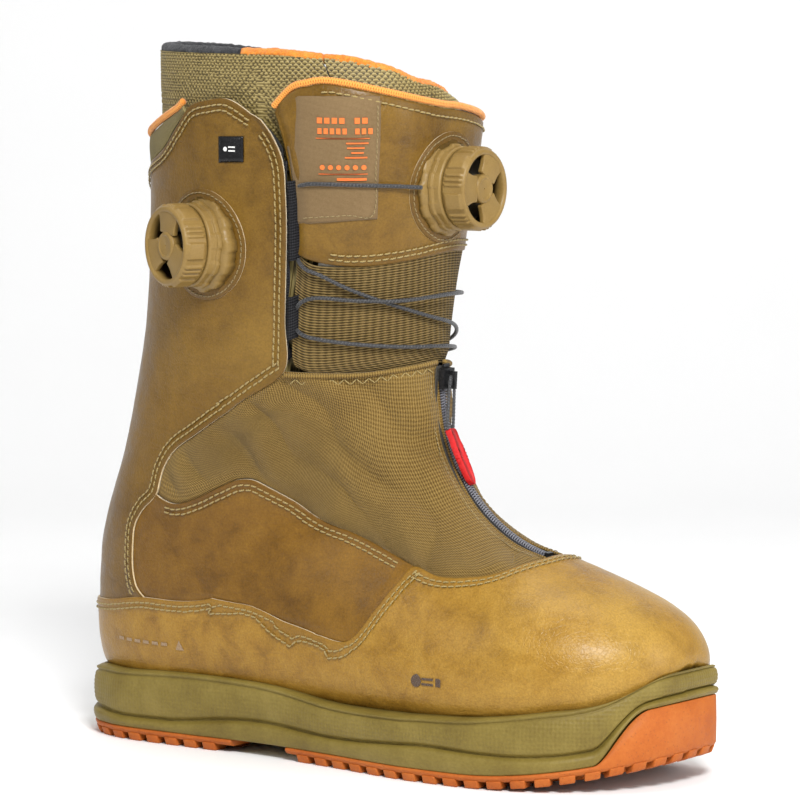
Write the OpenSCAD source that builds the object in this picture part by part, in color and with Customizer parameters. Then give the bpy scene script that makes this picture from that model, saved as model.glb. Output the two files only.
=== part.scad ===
// Right snowboard boot with two dial lacing systems, a zipped gaiter and a removable liner.
// X runs to the toe, -Y is the outer (lateral) side, Z is up, and z = 0 is the ground.

/* [Upper] */
// Leather and gaiter fabric thickness
skin_t = 1.3; // [1:0.1:1.5]
// Lining thickness
lining_t = 1.8; // [1.4:0.1:2]
// Liner foam thickness
liner_t = 4; // [3:0.5:5]
// Gap left between stacked layers
layer_gap = 0.3; // [0.2:0.05:0.4]
// Width of the lace facings, in degrees round the shaft
facing_w = 3; // [2.5:0.5:4]
// Thickness of the tongue padding
tongue_t = 3.6; // [3:0.1:3.8]

/* [Sole] */
// Depth of the tread under the midsole
tread_t = 6; // [5:0.5:8]
// Depth of the grooves between lugs
groove_d = 3; // [2:0.5:4]
// Lift of the toe from the ground
toe_spring = 11; // [8:1:14]
// Height that the outsole wraps up over the toe
bumper_h = 19; // [14:1:22]
// Height of the cup's floor above the ground
floor_z = 13.5; // [12:0.5:14.5]

/* [Dials] */
// Diameter of a dial knob
knob_d = 36; // [32:1:37]
// Height of a dial's fixed base
base_h = 6; // [6:0.5:7]
// Depth of the knob from skirt to face
knob_h = 11; // [10:0.5:13]
// Number of grip groups round a knob
knob_grips = 12; // [6:1:16]
// Diameter of the centre screw
screw_d = 5; // [4:0.5:5]
// Backward turn of the side dial
side_turn = 21; // [15:1:25]

/* [Laces] */
// Diameter of the lacing cord
lace_d = 1.8; // [1.4:0.1:2]
// Diameter of the piping on the collar and tongue
piping_d = 3.2; // [2.5:0.1:4]
// Diameter of the padded rim of the liner
rim_d = 7; // [5:0.5:8]

/* [Zip] */
// Radius of the instep arc that the zip follows
zip_r = 70.2; // [70:0.1:70.4]
// Length of the slider
slider_l = 9; // [7:0.5:10]
// Width of the slider
slider_w = 7.6; // [6:0.2:8]
// Length of the pull from the slider's eye to the tip of the tab
pull_l = 46; // [40:1:48]

/* [Hidden] */

leather = [0.60, 0.47, 0.22];
dark_leather = [0.50, 0.38, 0.16];
fabric = [0.55, 0.46, 0.27];
olive = [0.52, 0.46, 0.24];
orange = [0.85, 0.42, 0.12];
tan = [0.66, 0.55, 0.33];
black = [0.10, 0.10, 0.11];
grey = [0.55, 0.55, 0.56];
red = [0.80, 0.10, 0.10];

// Section planes from the toe tip, round the instep and up the shaft. Each row is
// front x, front z, back x, back z, middle y, outer half width, inner half width,
// share of the length behind the widest line, and the roundness in front and behind.
stations = [
    [147.0, 48, 147.0, 48, 8, 0, 0, .50, 2.0, 2.0],
    [144.5, 60, 144.5, 34, 8, 17, 15, .50, 2.0, 2.2],
    [137.0, 69, 137.0, 27, 7, 31, 27, .46, 2.1, 2.5],
    [124.0, 76, 124.0, 22, 6, 42, 37, .42, 2.2, 2.8],
    [106.0, 83, 106.0, 19, 4, 49.5, 44, .38, 2.2, 3.0],
    [86.0, 90.4, 84.0, 18, 2, 52.5, 47, .35, 2.1, 3.2],
    [65.0, 96.5, 52.0, 18, 1, 52, 46, .33, 1.9, 3.2],
    [48.0, 107.8, 12.0, 18, 0, 48, 43, .34, 1.8, 3.0],
    [36.2, 121.6, -45.0, 18, 0, 44, 41, .38, 1.75, 2.8],
    [28.6, 137, -140.0, 20, 0, 43, 41, .42, 1.75, 2.5],
    [25.0, 155, -153.0, 75, 0, 44, 43, .46, 1.8, 2.2],
    [23.5, 176, -137.0, 130, 0, 47, 45, .52, 1.9, 2.2],
    [24.0, 206, -125.0, 184, 0, 52, 49, .56, 2.1, 2.1],
    [27.0, 246, -121.0, 236, 0, 56, 54, .58, 2.5, 2.1],
    [29.0, 282, -122.0, 282, 0, 57, 56, .58, 2.7, 2.1],
    [23.0, 304, -123.0, 304, 0, 55, 50, .58, 2.2, 2.1]
];
v_end = len(stations) - 1;

// Outline of the sole from toe to heel: x, outer y, inner y.
sole_rows = [
    [147.5, 0, 22], [144, -16, 30], [134, -34, 40], [122, -44, 46], [108, -51, 49.5],
    [90, -56, 51], [72, -58, 50], [52, -57.5, 47.5], [35, -56, 44], [0, -49, 38],
    [-40, -43, 37], [-80, -42, 39], [-118, -40, 39], [-134, -35, 34.5],
    [-143, -29, 29], [-150, -19, 19], [-154, -7, 7]
];

// Line where the midsole's rim meets the upper, one point for each sole row, as
// a place along the stations and an angle round them from the front ridge.
rim_line = [
    [0.45, 80], [1.2, 90], [2.3, 103], [3.1, 106], [3.9, 106], [4.75, 110], [5.45, 115],
    [6.05, 119], [6.5, 124], [7.35, 130], [8.05, 125], [8.55, 123], [8.92, 133],
    [9.08, 143], [9.17, 155], [9.2, 167], [9.22, 176]
];

// Seams of the outer side in the same coordinates. The inner side mirrors them.
rand_top_heel = [[9.75, 180], [9.7, 158], [9.6, 137], [9.38, 110]];
rand_top_side = [
    [9.38, 110], [9, 92], [8.68, 86], [8.48, 86], [8.2, 89], [7.86, 90],
    [7.56, 88], [7.43, 82], [7.35, 68], [7.28, 57], [7.2, 49.3]
];
toe_cap_top = [[7.2, 49.3], [6.66, 47], [6.1, 40], [5.63, 31], [5.25, 13], [5.2, 0]];
quarter_top = [
    [10.25, 109], [10.16, 105], [10.05, 99], [10, 92], [10, 83], [9.98, 76],
    [9.81, 69], [9.3, 58], [8.63, 52.5], [7.98, 51.5], [7.2, 49.3]
];
quarter_back = [[9.38, 110], [9.53, 114], [9.75, 117], [10.02, 118], [10.16, 114.5], [10.25, 109]];
shaft_diag = [[10.25, 109], [10.5, 109], [10.66, 106], [10.76, 98], [10.96, 85], [11.18, 70]];
shaft_front = [[11.18, 70], [11.78, 72.5], [12.4, 75.3], [12.96, 78], [13.38, 80.7], [13.8, 88]];
shaft_top = [
    [13.8, 88], [14.05, 97], [14.03, 106], [13.95, 113], [13.7, 121],
    [13.48, 131], [13.35, 149], [13.2, 165], [13.12, 179.4]
];
gaiter_top = [[10.83, 6], [10.82, 20], [10.88, 38], [11, 53], [11.15, 69.5]];
tongue_top = [
    [14.25, 71], [14.3, 60], [14.15, 36], [13.97, 9], [13.8, -18], [13.7, -40],
    [13.75, -60], [13.8, -71]
];
collar_top = [[13.95, 117], [13.84, 122], [13.67, 138], [13.55, 160], [13.5, 180]];
collar_low = [[13.88, 116], [13.7, 122.5], [13.48, 133], [13.37, 149], [13.22, 165], [13.15, 180]];

// Cord of the front dial: along, angle and height over the skin, from the dial's outer
// exit, across and down behind the facings, and back up to the dial's inner exit.
upper_route = [
    [13.04, 17, 4.5], [13.06, 28, 2.2], [13.09, 45, 2.1], [13.12, 62, 2.2], [13.12, 70, 1.6],
    [13.05, 74.5, -2.6], [12.7, 73.4, -3], [12.42, 72, -2.8], [12.3, 67, 1.4], [12.22, 60, 2.3],
    [12, 45, 2], [11.75, 26, 2], [11.55, 8, 2], [11.42, -12, 2], [11.3, -32, 2], [11.25, -50, 2.2],
    [11.25, -60, 2.2], [11.28, -64.5, 0.4], [11.55, -68, -2.9], [11.84, -68.5, -2.6],
    [11.93, -63, 1.8], [11.9, -48, 2.2], [11.86, -28, 2.1], [11.85, -5, 3.9], [11.84, 24, 4.2],
    [11.9, 44, 2.8], [11.98, 59, 2.2], [11.96, 66, 1.2], [11.84, 69.5, -2.8], [11.68, 69, -2.8],
    [11.58, 64.5, 0.8], [11.48, 56, 2.2], [11.28, 36, 2], [11.14, 16, 2], [11.08, -10, 2],
    [11.12, -40, 2.1], [11.2, -57, 2.2], [11.25, -63.5, 0.8], [11.45, -69.3, -3], [11.9, -71.5, -3.1],
    [12.5, -74, -3.1], [12.95, -74.5, -2.6], [13.08, -70, 1.4], [13.06, -62, 2.3], [13.05, -45, 2],
    [13.04, -28, 2.2], [13.04, -17, 4.5]
];
// Cord of the inner harness, from behind the side dial down to the ankle band.
harness_route = [[12.45, 105, -5.1], [12.2, 98, -5.1], [11.95, 92, -5.1], [11.74, 88, -5.1]];

// Depths of the layers under the outer skin.
stiff_out = -(skin_t + 0.5);
stiff_in = stiff_out - 0.6;
lining_out = stiff_in - layer_gap;
lining_in = lining_out - lining_t;
harness_out = lining_in - layer_gap;
harness_in = harness_out - 1;
liner_out = harness_in - layer_gap;
liner_in = liner_out - liner_t;
bed_out = liner_in - 1.2;
bed_in = bed_out - 3;
foam_out = stiff_out;
foam_in = foam_out - tongue_t;
edge_margin = 0.006;
ankle_v = 10.95;
liner_top = 14.66;

// Front dial on the tongue, side dial on the outer side of the shaft.
front_place = [13, 0];
side_place = [12.6, 107];
front_axis = [1, 0, 0];
side_axis = [-sin(side_turn), -cos(side_turn), 0];
saddle_rise = 2.5;
saddle_r = 20.5;
base_r = 19;
cup_r = 15.5;
boss_r = 6;

// Zip arc, its centre and the slider's closed place on it.
zip_centre = [95, 0, 160];
zip_closed = 176.2;
zip_top = 170.8;
zip_bottom = 257.6;
slider_t = 2.4;
slider_low = zip_r - 0.8;
eye_r = slider_low - slider_t - 1.6;
pull_lean = 17.5;
cord_share = 0.46;
tab_w = 6.4;
tab_t = 3.2;

// ---- curves and surfaces ----

function clamp(x, low, high) = min(max(x, low), high);
function unit(p) = p / norm(p);
function steps(a, b, n) = [for (i = [0:n]) a + (b - a) * i / n];
function flip(line) = [for (p = line) [p[0], -p[1]]];
function rev(line) = [for (i = [len(line) - 1:-1:0]) line[i]];
function ease(x) = let(t = clamp(x, 0, 1)) t * t * (3 - 2 * t);

// Smooth curve through a list of points, with t from 0 to 1 along the list.
function pick(list, i) = list[clamp(i, 0, len(list) - 1)];
function smooth(p0, p1, p2, p3, t) = p1 + 0.5 * t * ((p2 - p0)
    + t * ((2 * p0 - 5 * p1 + 4 * p2 - p3) + t * (3 * (p1 - p2) + p3 - p0)));
function through(list, x) = let(u = clamp(x, 0, len(list) - 1.000001), i = floor(u))
    smooth(pick(list, i - 1), pick(list, i), pick(list, i + 1), pick(list, i + 2), u - i);
function along(list, t) = through(list, t * (len(list) - 1));

// Outer skin of the boot: v along the stations, a round them, 0 at the front ridge,
// 180 at the back or bottom, positive on the outer side.
function spow(c, e) = sign(c) * pow(abs(c), e);
function skin0(v, a) = let(
        s = through(stations, v),
        front = [s[0], 0, s[1]],
        back = [s[2], 0, s[3]],
        length = norm(front - back),
        e = length > 0 ? (front - back) / length : [0, 0, 1],
        n = cos(a) >= 0 ? s[8] : s[9],
        h = cos(a) >= 0 ? length * (1 - s[7]) : length * s[7],
        w = max(0, sin(a) >= 0 ? s[5] : s[6]),
        mid = back + (front - back) * s[7])
    mid + e * spow(cos(a), 2 / n) * h + [0, s[4] - spow(sin(a), 2 / n) * w, 0];
function skin_normal(v, a) = let(
        dv = skin0(min(v + 0.02, v_end), a) - skin0(max(v - 0.02, 0.05), a),
        da = skin0(v, a + 1.5) - skin0(v, a - 1.5))
    unit(cross(dv, da));
function skin(v, a, height = 0) = skin0(v, a) + height * skin_normal(v, a);

// Four-sided region between seams: s from left to right, t from low to top.
function coons(low, top, left, right, s, t) =
    (1 - t) * along(low, s) + t * along(top, s)
    + (1 - s) * along(left, t) + s * along(right, t)
    - (1 - s) * (1 - t) * low[0] - s * t * top[len(top) - 1]
    - s * (1 - t) * low[len(low) - 1] - (1 - s) * t * top[0];
function region(low, top, left, right, ns, nt, m = edge_margin) =
    [for (s = steps(m, 1 - m, ns)) [for (t = steps(m, 1 - m, nt)) coons(low, top, left, right, s, t)]];
function grid(vs, as) = [for (v = vs) [for (a = as) [v, a]]];

// Edge of the shaft's front opening at a place along the stations.
function front_edge(v) = lookup(v, [[10.9, 68.5], [11.2, 70], [11.8, 72.5], [12.4, 75.3],
    [13, 78], [13.4, 80.7], [14, 86], [15, 90]]);

// Place on the skin straight under a point q, looking along the direction d.
function under(q, d, v, a, n = 5) = n == 0 ? [v, a] : let(
        p = skin0(v, a),
        pv = (skin0(v + 0.05, a) - p) / 0.05,
        pa = skin0(v, a + 1) - p,
        m = cross(pa, d),
        det = pv * m)
    under(q, d, v + (q - p) * m / det, a + (q - p) * cross(d, pv) / det, n - 1);

// ---- solids from faces ----

function quad(a, b, c, d) = [[a, b, c], [a, c, d]];
function turned(faces, turn) = turn ? [for (f = faces) [f[2], f[1], f[0]]] : faces;
function join(lists) = [for (l = lists) for (x = l) x];

// Solid sheet over a grid of places on the skin, between two depths. With wrap the last
// column meets the first, and with tip the first row is closed by a cap.
module sheet(g, outer, inner, wrap = false, tip = false, keep = function(v, a) true) {
    ni = len(g);
    nj = len(g[0]);
    cols = wrap ? nj : nj - 1;
    id = function(i, j, k) k * ni * nj + i * nj + (j % nj);
    here = function(i, j) i < 0 || i > ni - 2 || (!wrap && (j < 0 || j >= cols)) ? false
        : let(jj = (j + nj) % nj) keep((g[i][jj][0] + g[i + 1][jj][0]) / 2,
            wrap ? g[i][jj][1] + 180 / nj : (g[i][jj][1] + g[i][jj + 1][1]) / 2);
    ci = floor(ni / 2) - 1;
    cj = floor(nj / 2) - 1;
    along_i = g[ci + 1][cj] - g[ci][cj];
    along_j = g[ci][cj + 1] - g[ci][cj];
    turn = along_i[0] * along_j[1] - along_i[1] * along_j[0] < 0;
    pts = [for (depth = [outer, inner]) for (row = g) for (p = row) skin(p[0], p[1], depth)];
    ring = [for (j = [0:nj - 1]) j];
    tips = tip ? [for (k = [0, 1]) [for (x = [0:2]) [for (j = ring) pts[id(0, j, k)][x]]
        * [for (j = ring) 1] / nj]] : [];
    t0 = 2 * ni * nj;
    faces = join([for (i = [0:ni - 2]) for (j = [0:cols - 1]) if (here(i, j)) let(
            a = id(i, j, 0), b = id(i + 1, j, 0), c = id(i + 1, j + 1, 0), d = id(i, j + 1, 0),
            a1 = id(i, j, 1), b1 = id(i + 1, j, 1), c1 = id(i + 1, j + 1, 1), d1 = id(i, j + 1, 1))
        concat(quad(a, d, c, b), quad(a1, b1, c1, d1),
            here(i - 1, j) ? [] : tip && i == 0
                ? [[d, a, t0], [a1, d1, t0 + 1]] : quad(d, a, a1, d1),
            here(i + 1, j) ? [] : quad(b, c, c1, b1),
            here(i, j - 1) ? [] : quad(a, b, b1, a1),
            here(i, j + 1) ? [] : quad(c, d, d1, c1))]);
    polyhedron(concat(pts, tips), turned(faces, turn), convexity = 10);
}

// Solid through a stack of rings of points, closed by a fan at each end.
module stack(rings, first, last, turn = false) {
    n = len(rings[0]);
    m = len(rings);
    id = function(k, i) k * n + i % n;
    sides = join([for (k = [0:m - 2]) for (i = [0:n - 1])
        quad(id(k, i), id(k + 1, i), id(k + 1, i + 1), id(k, i + 1))]);
    ends = join([for (i = [0:n - 1]) [[m * n, id(0, i), id(0, i + 1)],
        [m * n + 1, id(m - 1, i + 1), id(m - 1, i)]]]);
    polyhedron(concat(join(rings), [first, last]), turned(concat(sides, ends), turn), convexity = 10);
}

// Round cord along a list of points, with its rings turned by a field of outward directions.
module cord(path, r, sides, outward) {
    n = len(path) - 1;
    tangent = [for (i = [0:n]) unit(path[min(i + 1, n)] - path[max(i - 1, 0)])];
    rings = [for (i = [0:n]) let(
            o = outward(path[i]),
            n1 = unit(o - (o * tangent[i]) * tangent[i]),
            n2 = cross(tangent[i], n1))
        [for (k = [0:sides - 1]) path[i] + r * (cos(360 * k / sides) * n1 + sin(360 * k / sides) * n2)]];
    stack(rings, path[0], path[n]);
}
from_shaft = function(p) unit([p[0] + 48, p[1], 0]);

// Solid on the sole's plan: rows from toe to heel, each loop goes down the outer side
// and back up the inner side, and the two end loops are closed straight across.
module plan_stack(loops) {
    n = len(loops[0]);
    m = len(loops);
    half = n / 2;
    id = function(k, i) k * n + (i + n) % n;
    sides = join([for (k = [0:m - 2]) for (i = [0:n - 1])
        quad(id(k, i), id(k, i + 1), id(k + 1, i + 1), id(k + 1, i))]);
    ends = join([for (i = [0:half - 2]) concat(
        quad(id(0, i), id(0, -1 - i), id(0, -2 - i), id(0, i + 1)),
        quad(id(m - 1, i), id(m - 1, i + 1), id(m - 1, -2 - i), id(m - 1, -1 - i)))]);
    polyhedron(join(loops), concat(sides, ends), convexity = 10);
}

// ---- sole ----

row_step = 0.5;
row_places = [for (t = [0:row_step:len(sole_rows) - 1]) t];
sole_dense = [for (t = row_places) through(sole_rows, t)];
by_x = rev(sole_dense);
outer_y = [for (r = by_x) [r[0], r[1]]];
inner_y = [for (r = by_x) [r[0], r[2]]];
toe_x = sole_rows[0][0];
heel_x = sole_rows[len(sole_rows) - 1][0];
mid_x = (toe_x + heel_x) / 2;
half_l = (toe_x - heel_x) / 2;

function spring(x) = toe_spring * pow(clamp((x - 70) / 77, 0, 1.1), 2);
function wrap_up(x) = bumper_h * ease((x - 127) / 15);
function inset_x(x, d) = mid_x + (x - mid_x) * (half_l - d) / half_l;

// Loop of the outline moved in by d, at heights given by a function of the row.
function outline(d, height) = concat(
    [for (t = row_places) let(r = through(sole_rows, t)) [inset_x(r[0], d), r[1] + d, height(t)]],
    [for (t = rev(row_places)) let(r = through(sole_rows, t)) [inset_x(r[0], d), r[2] - d, height(t)]]);
function row_x(t) = through(sole_rows, t)[0];
function rim_at(t, side, lift) = let(p = through(rim_line, t)) skin(p[0], side * p[1], lift);
function rim_z(t) = rim_at(t, 1, 0)[2];
// Loop inside the rim, drawn back round the toe, where the wall is thin.
function rim_loop(lift, height, draw = 0) = [for (side = [1, -1])
    for (t = side > 0 ? row_places : rev(row_places)) let(p = rim_at(t, side, lift))
        [p[0] - draw * ease((p[0] - 120) / 24), p[1], height(t, p[2])]];

module midsole() {
    low = function(t) tread_t + spring(row_x(t));
    step = function(t) tread_t + spring(row_x(t)) + wrap_up(row_x(t));
    part_way = function(share) function(t) step(t) + (rim_z(t) - 0.4 - step(t)) * share;
    color(olive) plan_stack([
        outline(4.6, low),
        outline(3.8, step),
        outline(1.4, step),
        outline(0.8, part_way(0.14)),
        outline(2, part_way(0.3)),
        outline(0.4, part_way(0.5)),
        outline(0, part_way(0.7)),
        outline(1.4, part_way(0.92)),
        outline(1.6, part_way(1)),
        rim_loop(0.4, function(t, z) z),
        rim_loop(-0.8, function(t, z) z - 3, 1.2),
        rim_loop(-1.6, function(t, z) floor_z + 0.9 * spring(row_x(t)), 3)
    ]);
}

// Tread block with lugs between two places along the boot, cut into cells.
module tread(x_front, x_back, cells) {
    lanes = [0, 0.12, 0.2, 0.34, 0.42, 0.58, 0.66, 0.8, 0.88, 1];
    nl = len(lanes) - 1;
    levels = 4;
    gap = 0.15;
    x_of = function(i) x_front + (x_back - x_front) * i / cells;
    at = function(x, lane, d, z) [inset_x(x, d),
        lookup(x, outer_y) + d + lane * (lookup(x, inner_y) - lookup(x, outer_y) - 2 * d), z];
    point = function(i, j, k) let(x = x_of(i), base = spring(x), top = base + tread_t - gap)
        k == 0 ? at(x, lanes[j], 1.8, base + groove_d)
        : k == 1 ? at(x, lanes[j], 0.8, top + wrap_up(x))
        : k == 2 ? at(x, lanes[j], 2.7, top + wrap_up(x))
        : at(x, lanes[j], 3.5, top);
    size = (cells + 1) * (nl + 1);
    id = function(i, j, k) k * size + i * (nl + 1) + j;
    lugs = [for (i = [0:2:cells - 1]) for (j = [0:2:nl - 1]) [i, j]];
    lug_point = function(i, j, c) let(x = x_of(i + (c == 1 || c == 2 ? 1 : 0)))
        at(x, lanes[j + (c >= 2 ? 1 : 0)], 1.4, spring(x));
    lug_id = function(n, c) levels * size + 4 * n + c;
    is_lug = function(i, j) i % 2 == 0 && j % 2 == 0;
    lug_no = function(i, j) (i / 2) * ((nl + 1) / 2) + j / 2;
    walls = function(p, q) join([for (k = [0:levels - 2]) quad(p + k * size, q + k * size,
        q + (k + 1) * size, p + (k + 1) * size)]);
    faces = join([for (i = [0:cells - 1]) for (j = [0:nl - 1]) let(
            a = id(i, j, 0), b = id(i + 1, j, 0), c = id(i + 1, j + 1, 0), d = id(i, j + 1, 0),
            up = (levels - 1) * size, n = is_lug(i, j) ? lug_no(i, j) : 0,
            la = lug_id(n, 0), lb = lug_id(n, 1), lc = lug_id(n, 2), ld = lug_id(n, 3))
        concat(
            is_lug(i, j) ? concat(quad(la, ld, lc, lb), quad(a, d, ld, la), quad(d, c, lc, ld),
                quad(c, b, lb, lc), quad(b, a, la, lb)) : quad(a, d, c, b),
            quad(a + up, b + up, c + up, d + up),
            i == 0 ? walls(d, a) : [],
            i == cells - 1 ? walls(b, c) : [],
            j == 0 ? walls(a, b) : [],
            j == nl - 1 ? walls(c, d) : [])]);
    pts = concat(
        [for (k = [0:levels - 1]) for (i = [0:cells]) for (j = [0:nl]) point(i, j, k)],
        [for (l = lugs) for (c = [0:3]) lug_point(l[0], l[1], c)]);
    polyhedron(pts, faces, convexity = 10);
}
module outsole_forefoot() { color(orange) tread(147, -27, 29); }
module outsole_heel() { color(orange) tread(-57, -153.5, 17); }

// Pieces that lie in the cup under the lasting board.
module inner_slab(places, inset, low_z, high_z) {
    edge = function(t, side) let(p = rim_at(t, side, -1.6)) [p[0], p[1] * (1 - inset)];
    loop = function(z) concat(
        [for (t = places) let(e = edge(t, 1)) [e[0], e[1], z]],
        [for (t = rev(places)) let(e = edge(t, -1)) [e[0], e[1], z]]);
    plan_stack([loop(low_z), loop(high_z)]);
}
module heel_cushion() { color(grey) inner_slab(steps(11.2, 13.6, 6), 0.25, floor_z + 0.2, floor_z + 3.6); }
module shank() { color(black) inner_slab(steps(8.2, 10.9, 6), 0.6, floor_z + 0.2, floor_z + 2); }
module lasting_board() {
    color(tan) sheet(grid(steps(2.04, 9.1, 16), steps(144, 216, 6)), lining_out, lining_in);
}

// ---- leather upper ----

module toe_rand() {
    low = [[9.2, 180], [9.2, 167], [9.17, 156], [9.08, 144], [8.92, 134], [8.55, 124.5],
        [8.05, 126.5], [7.35, 131], [6.5, 125.5], [6.05, 120.5], [5.45, 116.5], [4.75, 111.5],
        [3.9, 107.5], [3.1, 107.5], [2.3, 104], [1.3, 88], [0.6, 70], [0.3, 0]];
    top = concat(rand_top_heel, [for (i = [1:len(rand_top_side) - 1]) rand_top_side[i]],
        [for (i = [1:len(toe_cap_top) - 1]) toe_cap_top[i]]);
    half = region(low, top, [low[0], top[0]], [[0.3, 0], [1, 0], [3, 0], [5.2, 0]], 24, 10, 0);
    n = len(half);
    inside = [for (i = [0:n - 1]) [for (p = half[i]) [p[0], p[1] - (i == 0 ? 0.5 : 0)]]];
    mirrored = [for (i = [n - 2:-1:0]) flip(inside[i])];
    color(leather) sheet(concat(inside, mirrored), 0, -skin_t);
}
module quarter(side) {
    g = region(rand_top_side, quarter_top, quarter_back, [[7.2, 49.3], [7.2, 49.3]], 14, 5, 0.012);
    color(dark_leather) sheet([for (r = g) [for (p = r) [p[0], side * p[1]]]], 0, -skin_t);
}
module quarter_lateral() { quarter(1); }
module quarter_medial() { quarter(-1); }

module gaiter(side) {
    low = concat([[5.25, 6]], rev([for (i = [0:len(toe_cap_top) - 3]) toe_cap_top[i]]),
        rev([for (i = [0:len(quarter_top) - 2]) quarter_top[i]]));
    g = region(low, gaiter_top, [low[0], gaiter_top[0]], shaft_diag, 16, 10, 0.012);
    color(fabric) sheet([for (r = g) [for (p = r) [p[0], side * p[1]]]], 0, -skin_t);
}
module gaiter_lateral() { gaiter(1); }
module gaiter_medial() { gaiter(-1); }

module shaft(side) {
    left = concat(quarter_back, [for (i = [1:len(shaft_diag) - 1]) shaft_diag[i]],
        [for (i = [1:len(shaft_front) - 1]) shaft_front[i]]);
    low = [[9.38, 110], [9.6, 137], [9.7, 158], [9.75, 179.4]];
    right = [[9.75, 179.4], [10.6, 179.4], [11.8, 179.4], [13.12, 179.4]];
    g = region(low, shaft_top, left, right, 11, 22, 0.008);
    color(leather) sheet([for (r = g) [for (p = r) [p[0], side * p[1]]]], 0, -skin_t);
}
module shaft_lateral() { shaft(1); }
module shaft_medial() { shaft(-1); }

module backstay() {
    color(dark_leather) sheet(grid(steps(9.8, 13.05, 14), steps(172, 188, 2)), 0.35 + skin_t, 0.35);
}
module collar_panel() {
    half = region(collar_low, collar_top, [collar_low[0], collar_top[0]],
        [collar_low[5], collar_top[4]], 7, 2, 0);
    n = len(half);
    mirrored = [for (i = [n - 2:-1:0]) [for (p = half[i]) [p[0], 360 - p[1]]]];
    color(fabric) sheet(concat(half, mirrored), 0, -skin_t);
}
module collar_piping() {
    line = concat(collar_top, [for (i = [len(collar_top) - 2:-1:0]) [collar_top[i][0], 360 - collar_top[i][1]]]);
    color(orange) cord([for (t = steps(0, 1, 26)) let(p = along(line, t))
        skin(p[0] + 0.06, p[1], -skin_t / 2)], piping_d / 2, 8, from_shaft);
}
module facing(side) {
    g = [for (v = steps(11.2, 13.36, 10)) [for (k = [1, 0]) [v, side * (front_edge(v) - 1 - k * facing_w)]]];
    color(black) sheet(g, -0.2, -0.2 - skin_t);
}
module facing_lateral() { facing(1); }
module facing_medial() { facing(-1); }
module cuff_badge() { color(black) sheet(grid(steps(13.36, 13.62, 4), steps(92.5, 101, 4)), 1, 0.15); }

// ---- stiffeners, lining, harness ----

module foot_lining() {
    g = grid(concat([1.1], steps(2, 9.12, 9), steps(9.35, ankle_v, 5)), [for (j = [0:23]) j * 15 + 8]);
    color(black) sheet(g, lining_out, lining_in, wrap = true, tip = true,
        keep = function(v, a) v < 2 || v > 9.12 || a < 142 || a > 218);
}
module shaft_lining() {
    top = function(a) lookup(180 - abs(a - 180), [[78, 13.3], [88, 13.72], [97, 13.98], [108, 13.95],
        [122, 13.78], [138, 13.62], [160, 13.5], [180, 13.45]]);
    g = [for (k = steps(0, 1, 9)) let(e = front_edge(ankle_v + 2.4 * k) + 2)
        [for (a = steps(e, 360 - e, 16)) [ankle_v + 0.03 + k * (top(a) - ankle_v - 0.03), a]]];
    color(black) sheet(g, lining_out, lining_in);
}
module heel_counter() {
    color(grey) sheet(grid(steps(9.3, 10.7, 5), steps(128, 232, 8)), stiff_out, stiff_in);
}
module toe_puff() { color(grey) sheet(grid(steps(1.2, 3.8, 6), steps(-72, 72, 10)), stiff_out, stiff_in); }
module harness(side) {
    g = [for (k = steps(0, 1, 6)) [for (w = [0, 0.5, 1])
        [9.9 + 1.6 * k + 0.35 * (w - 0.5), side * (150 - 82 * k + 8 * w)]]];
    color(black) sheet(g, harness_out, harness_in);
}
module harness_lateral() { harness(1); }
module harness_medial() { harness(-1); }

function route(list, n) = [for (t = steps(0, 1, n)) let(p = along(list, t)) skin(p[0], p[1], p[2])];
module upper_lace() { color(black) cord(route(upper_route, 79), lace_d / 2, 8, from_shaft); }
module harness_lace() { color(black) cord(route(harness_route, 9), 0.45, 8, from_shaft); }

// ---- tongue ----

tongue_seam = [[12.42, 64], [12.3, 56], [12.25, 39], [12.27, 19], [12.33, -5], [12.33, -25],
    [12.35, -45], [12.42, -64]];
tongue_foot = [[11.22, 59], [11.07, 53], [10.95, 38], [10.89, 20], [10.9, 0],
    [10.89, -20], [10.95, -38], [11.07, -53], [11.22, -59]];
module tongue_leather() {
    g = region(tongue_seam, tongue_top, [[12.42, 64], [13.2, 69], [14.25, 71]],
        [[12.42, -64], [13.2, -69], [13.8, -71]], 14, 7, 0.008);
    color(leather) sheet(g, 0, -skin_t);
}
module tongue_elastic() {
    g = region(tongue_foot, tongue_seam, [tongue_foot[0], tongue_seam[0]],
        [tongue_foot[8], tongue_seam[7]], 14, 5, 0.008);
    color(dark_leather) sheet(g, 0, -skin_t);
}
module tongue_patch() {
    color([0.45, 0.35, 0.2]) sheet(grid(steps(12.74, 13.98, 5), steps(38, 66, 5)), 0.8, 0.15);
}
module tongue_piping() {
    color(orange) cord([for (t = steps(0, 1, 34)) let(p = along(tongue_top, t))
        skin(p[0] + 0.07, p[1], -skin_t / 2)], piping_d / 2, 8, from_shaft);
}
module tongue_foam() {
    g = region([[11.25, 58], [11.02, 0], [11.25, -58]], [[14.1, 69], [13.85, 0], [13.6, -69]],
        [[11.25, 58], [12.4, 63], [14.1, 69]], [[11.25, -58], [12.4, -63], [13.6, -69]], 12, 6, 0);
    color(fabric) sheet(g, foam_out, foam_in);
}

// ---- dials, each built along +Z on its saddle and then turned to its axis ----

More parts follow.
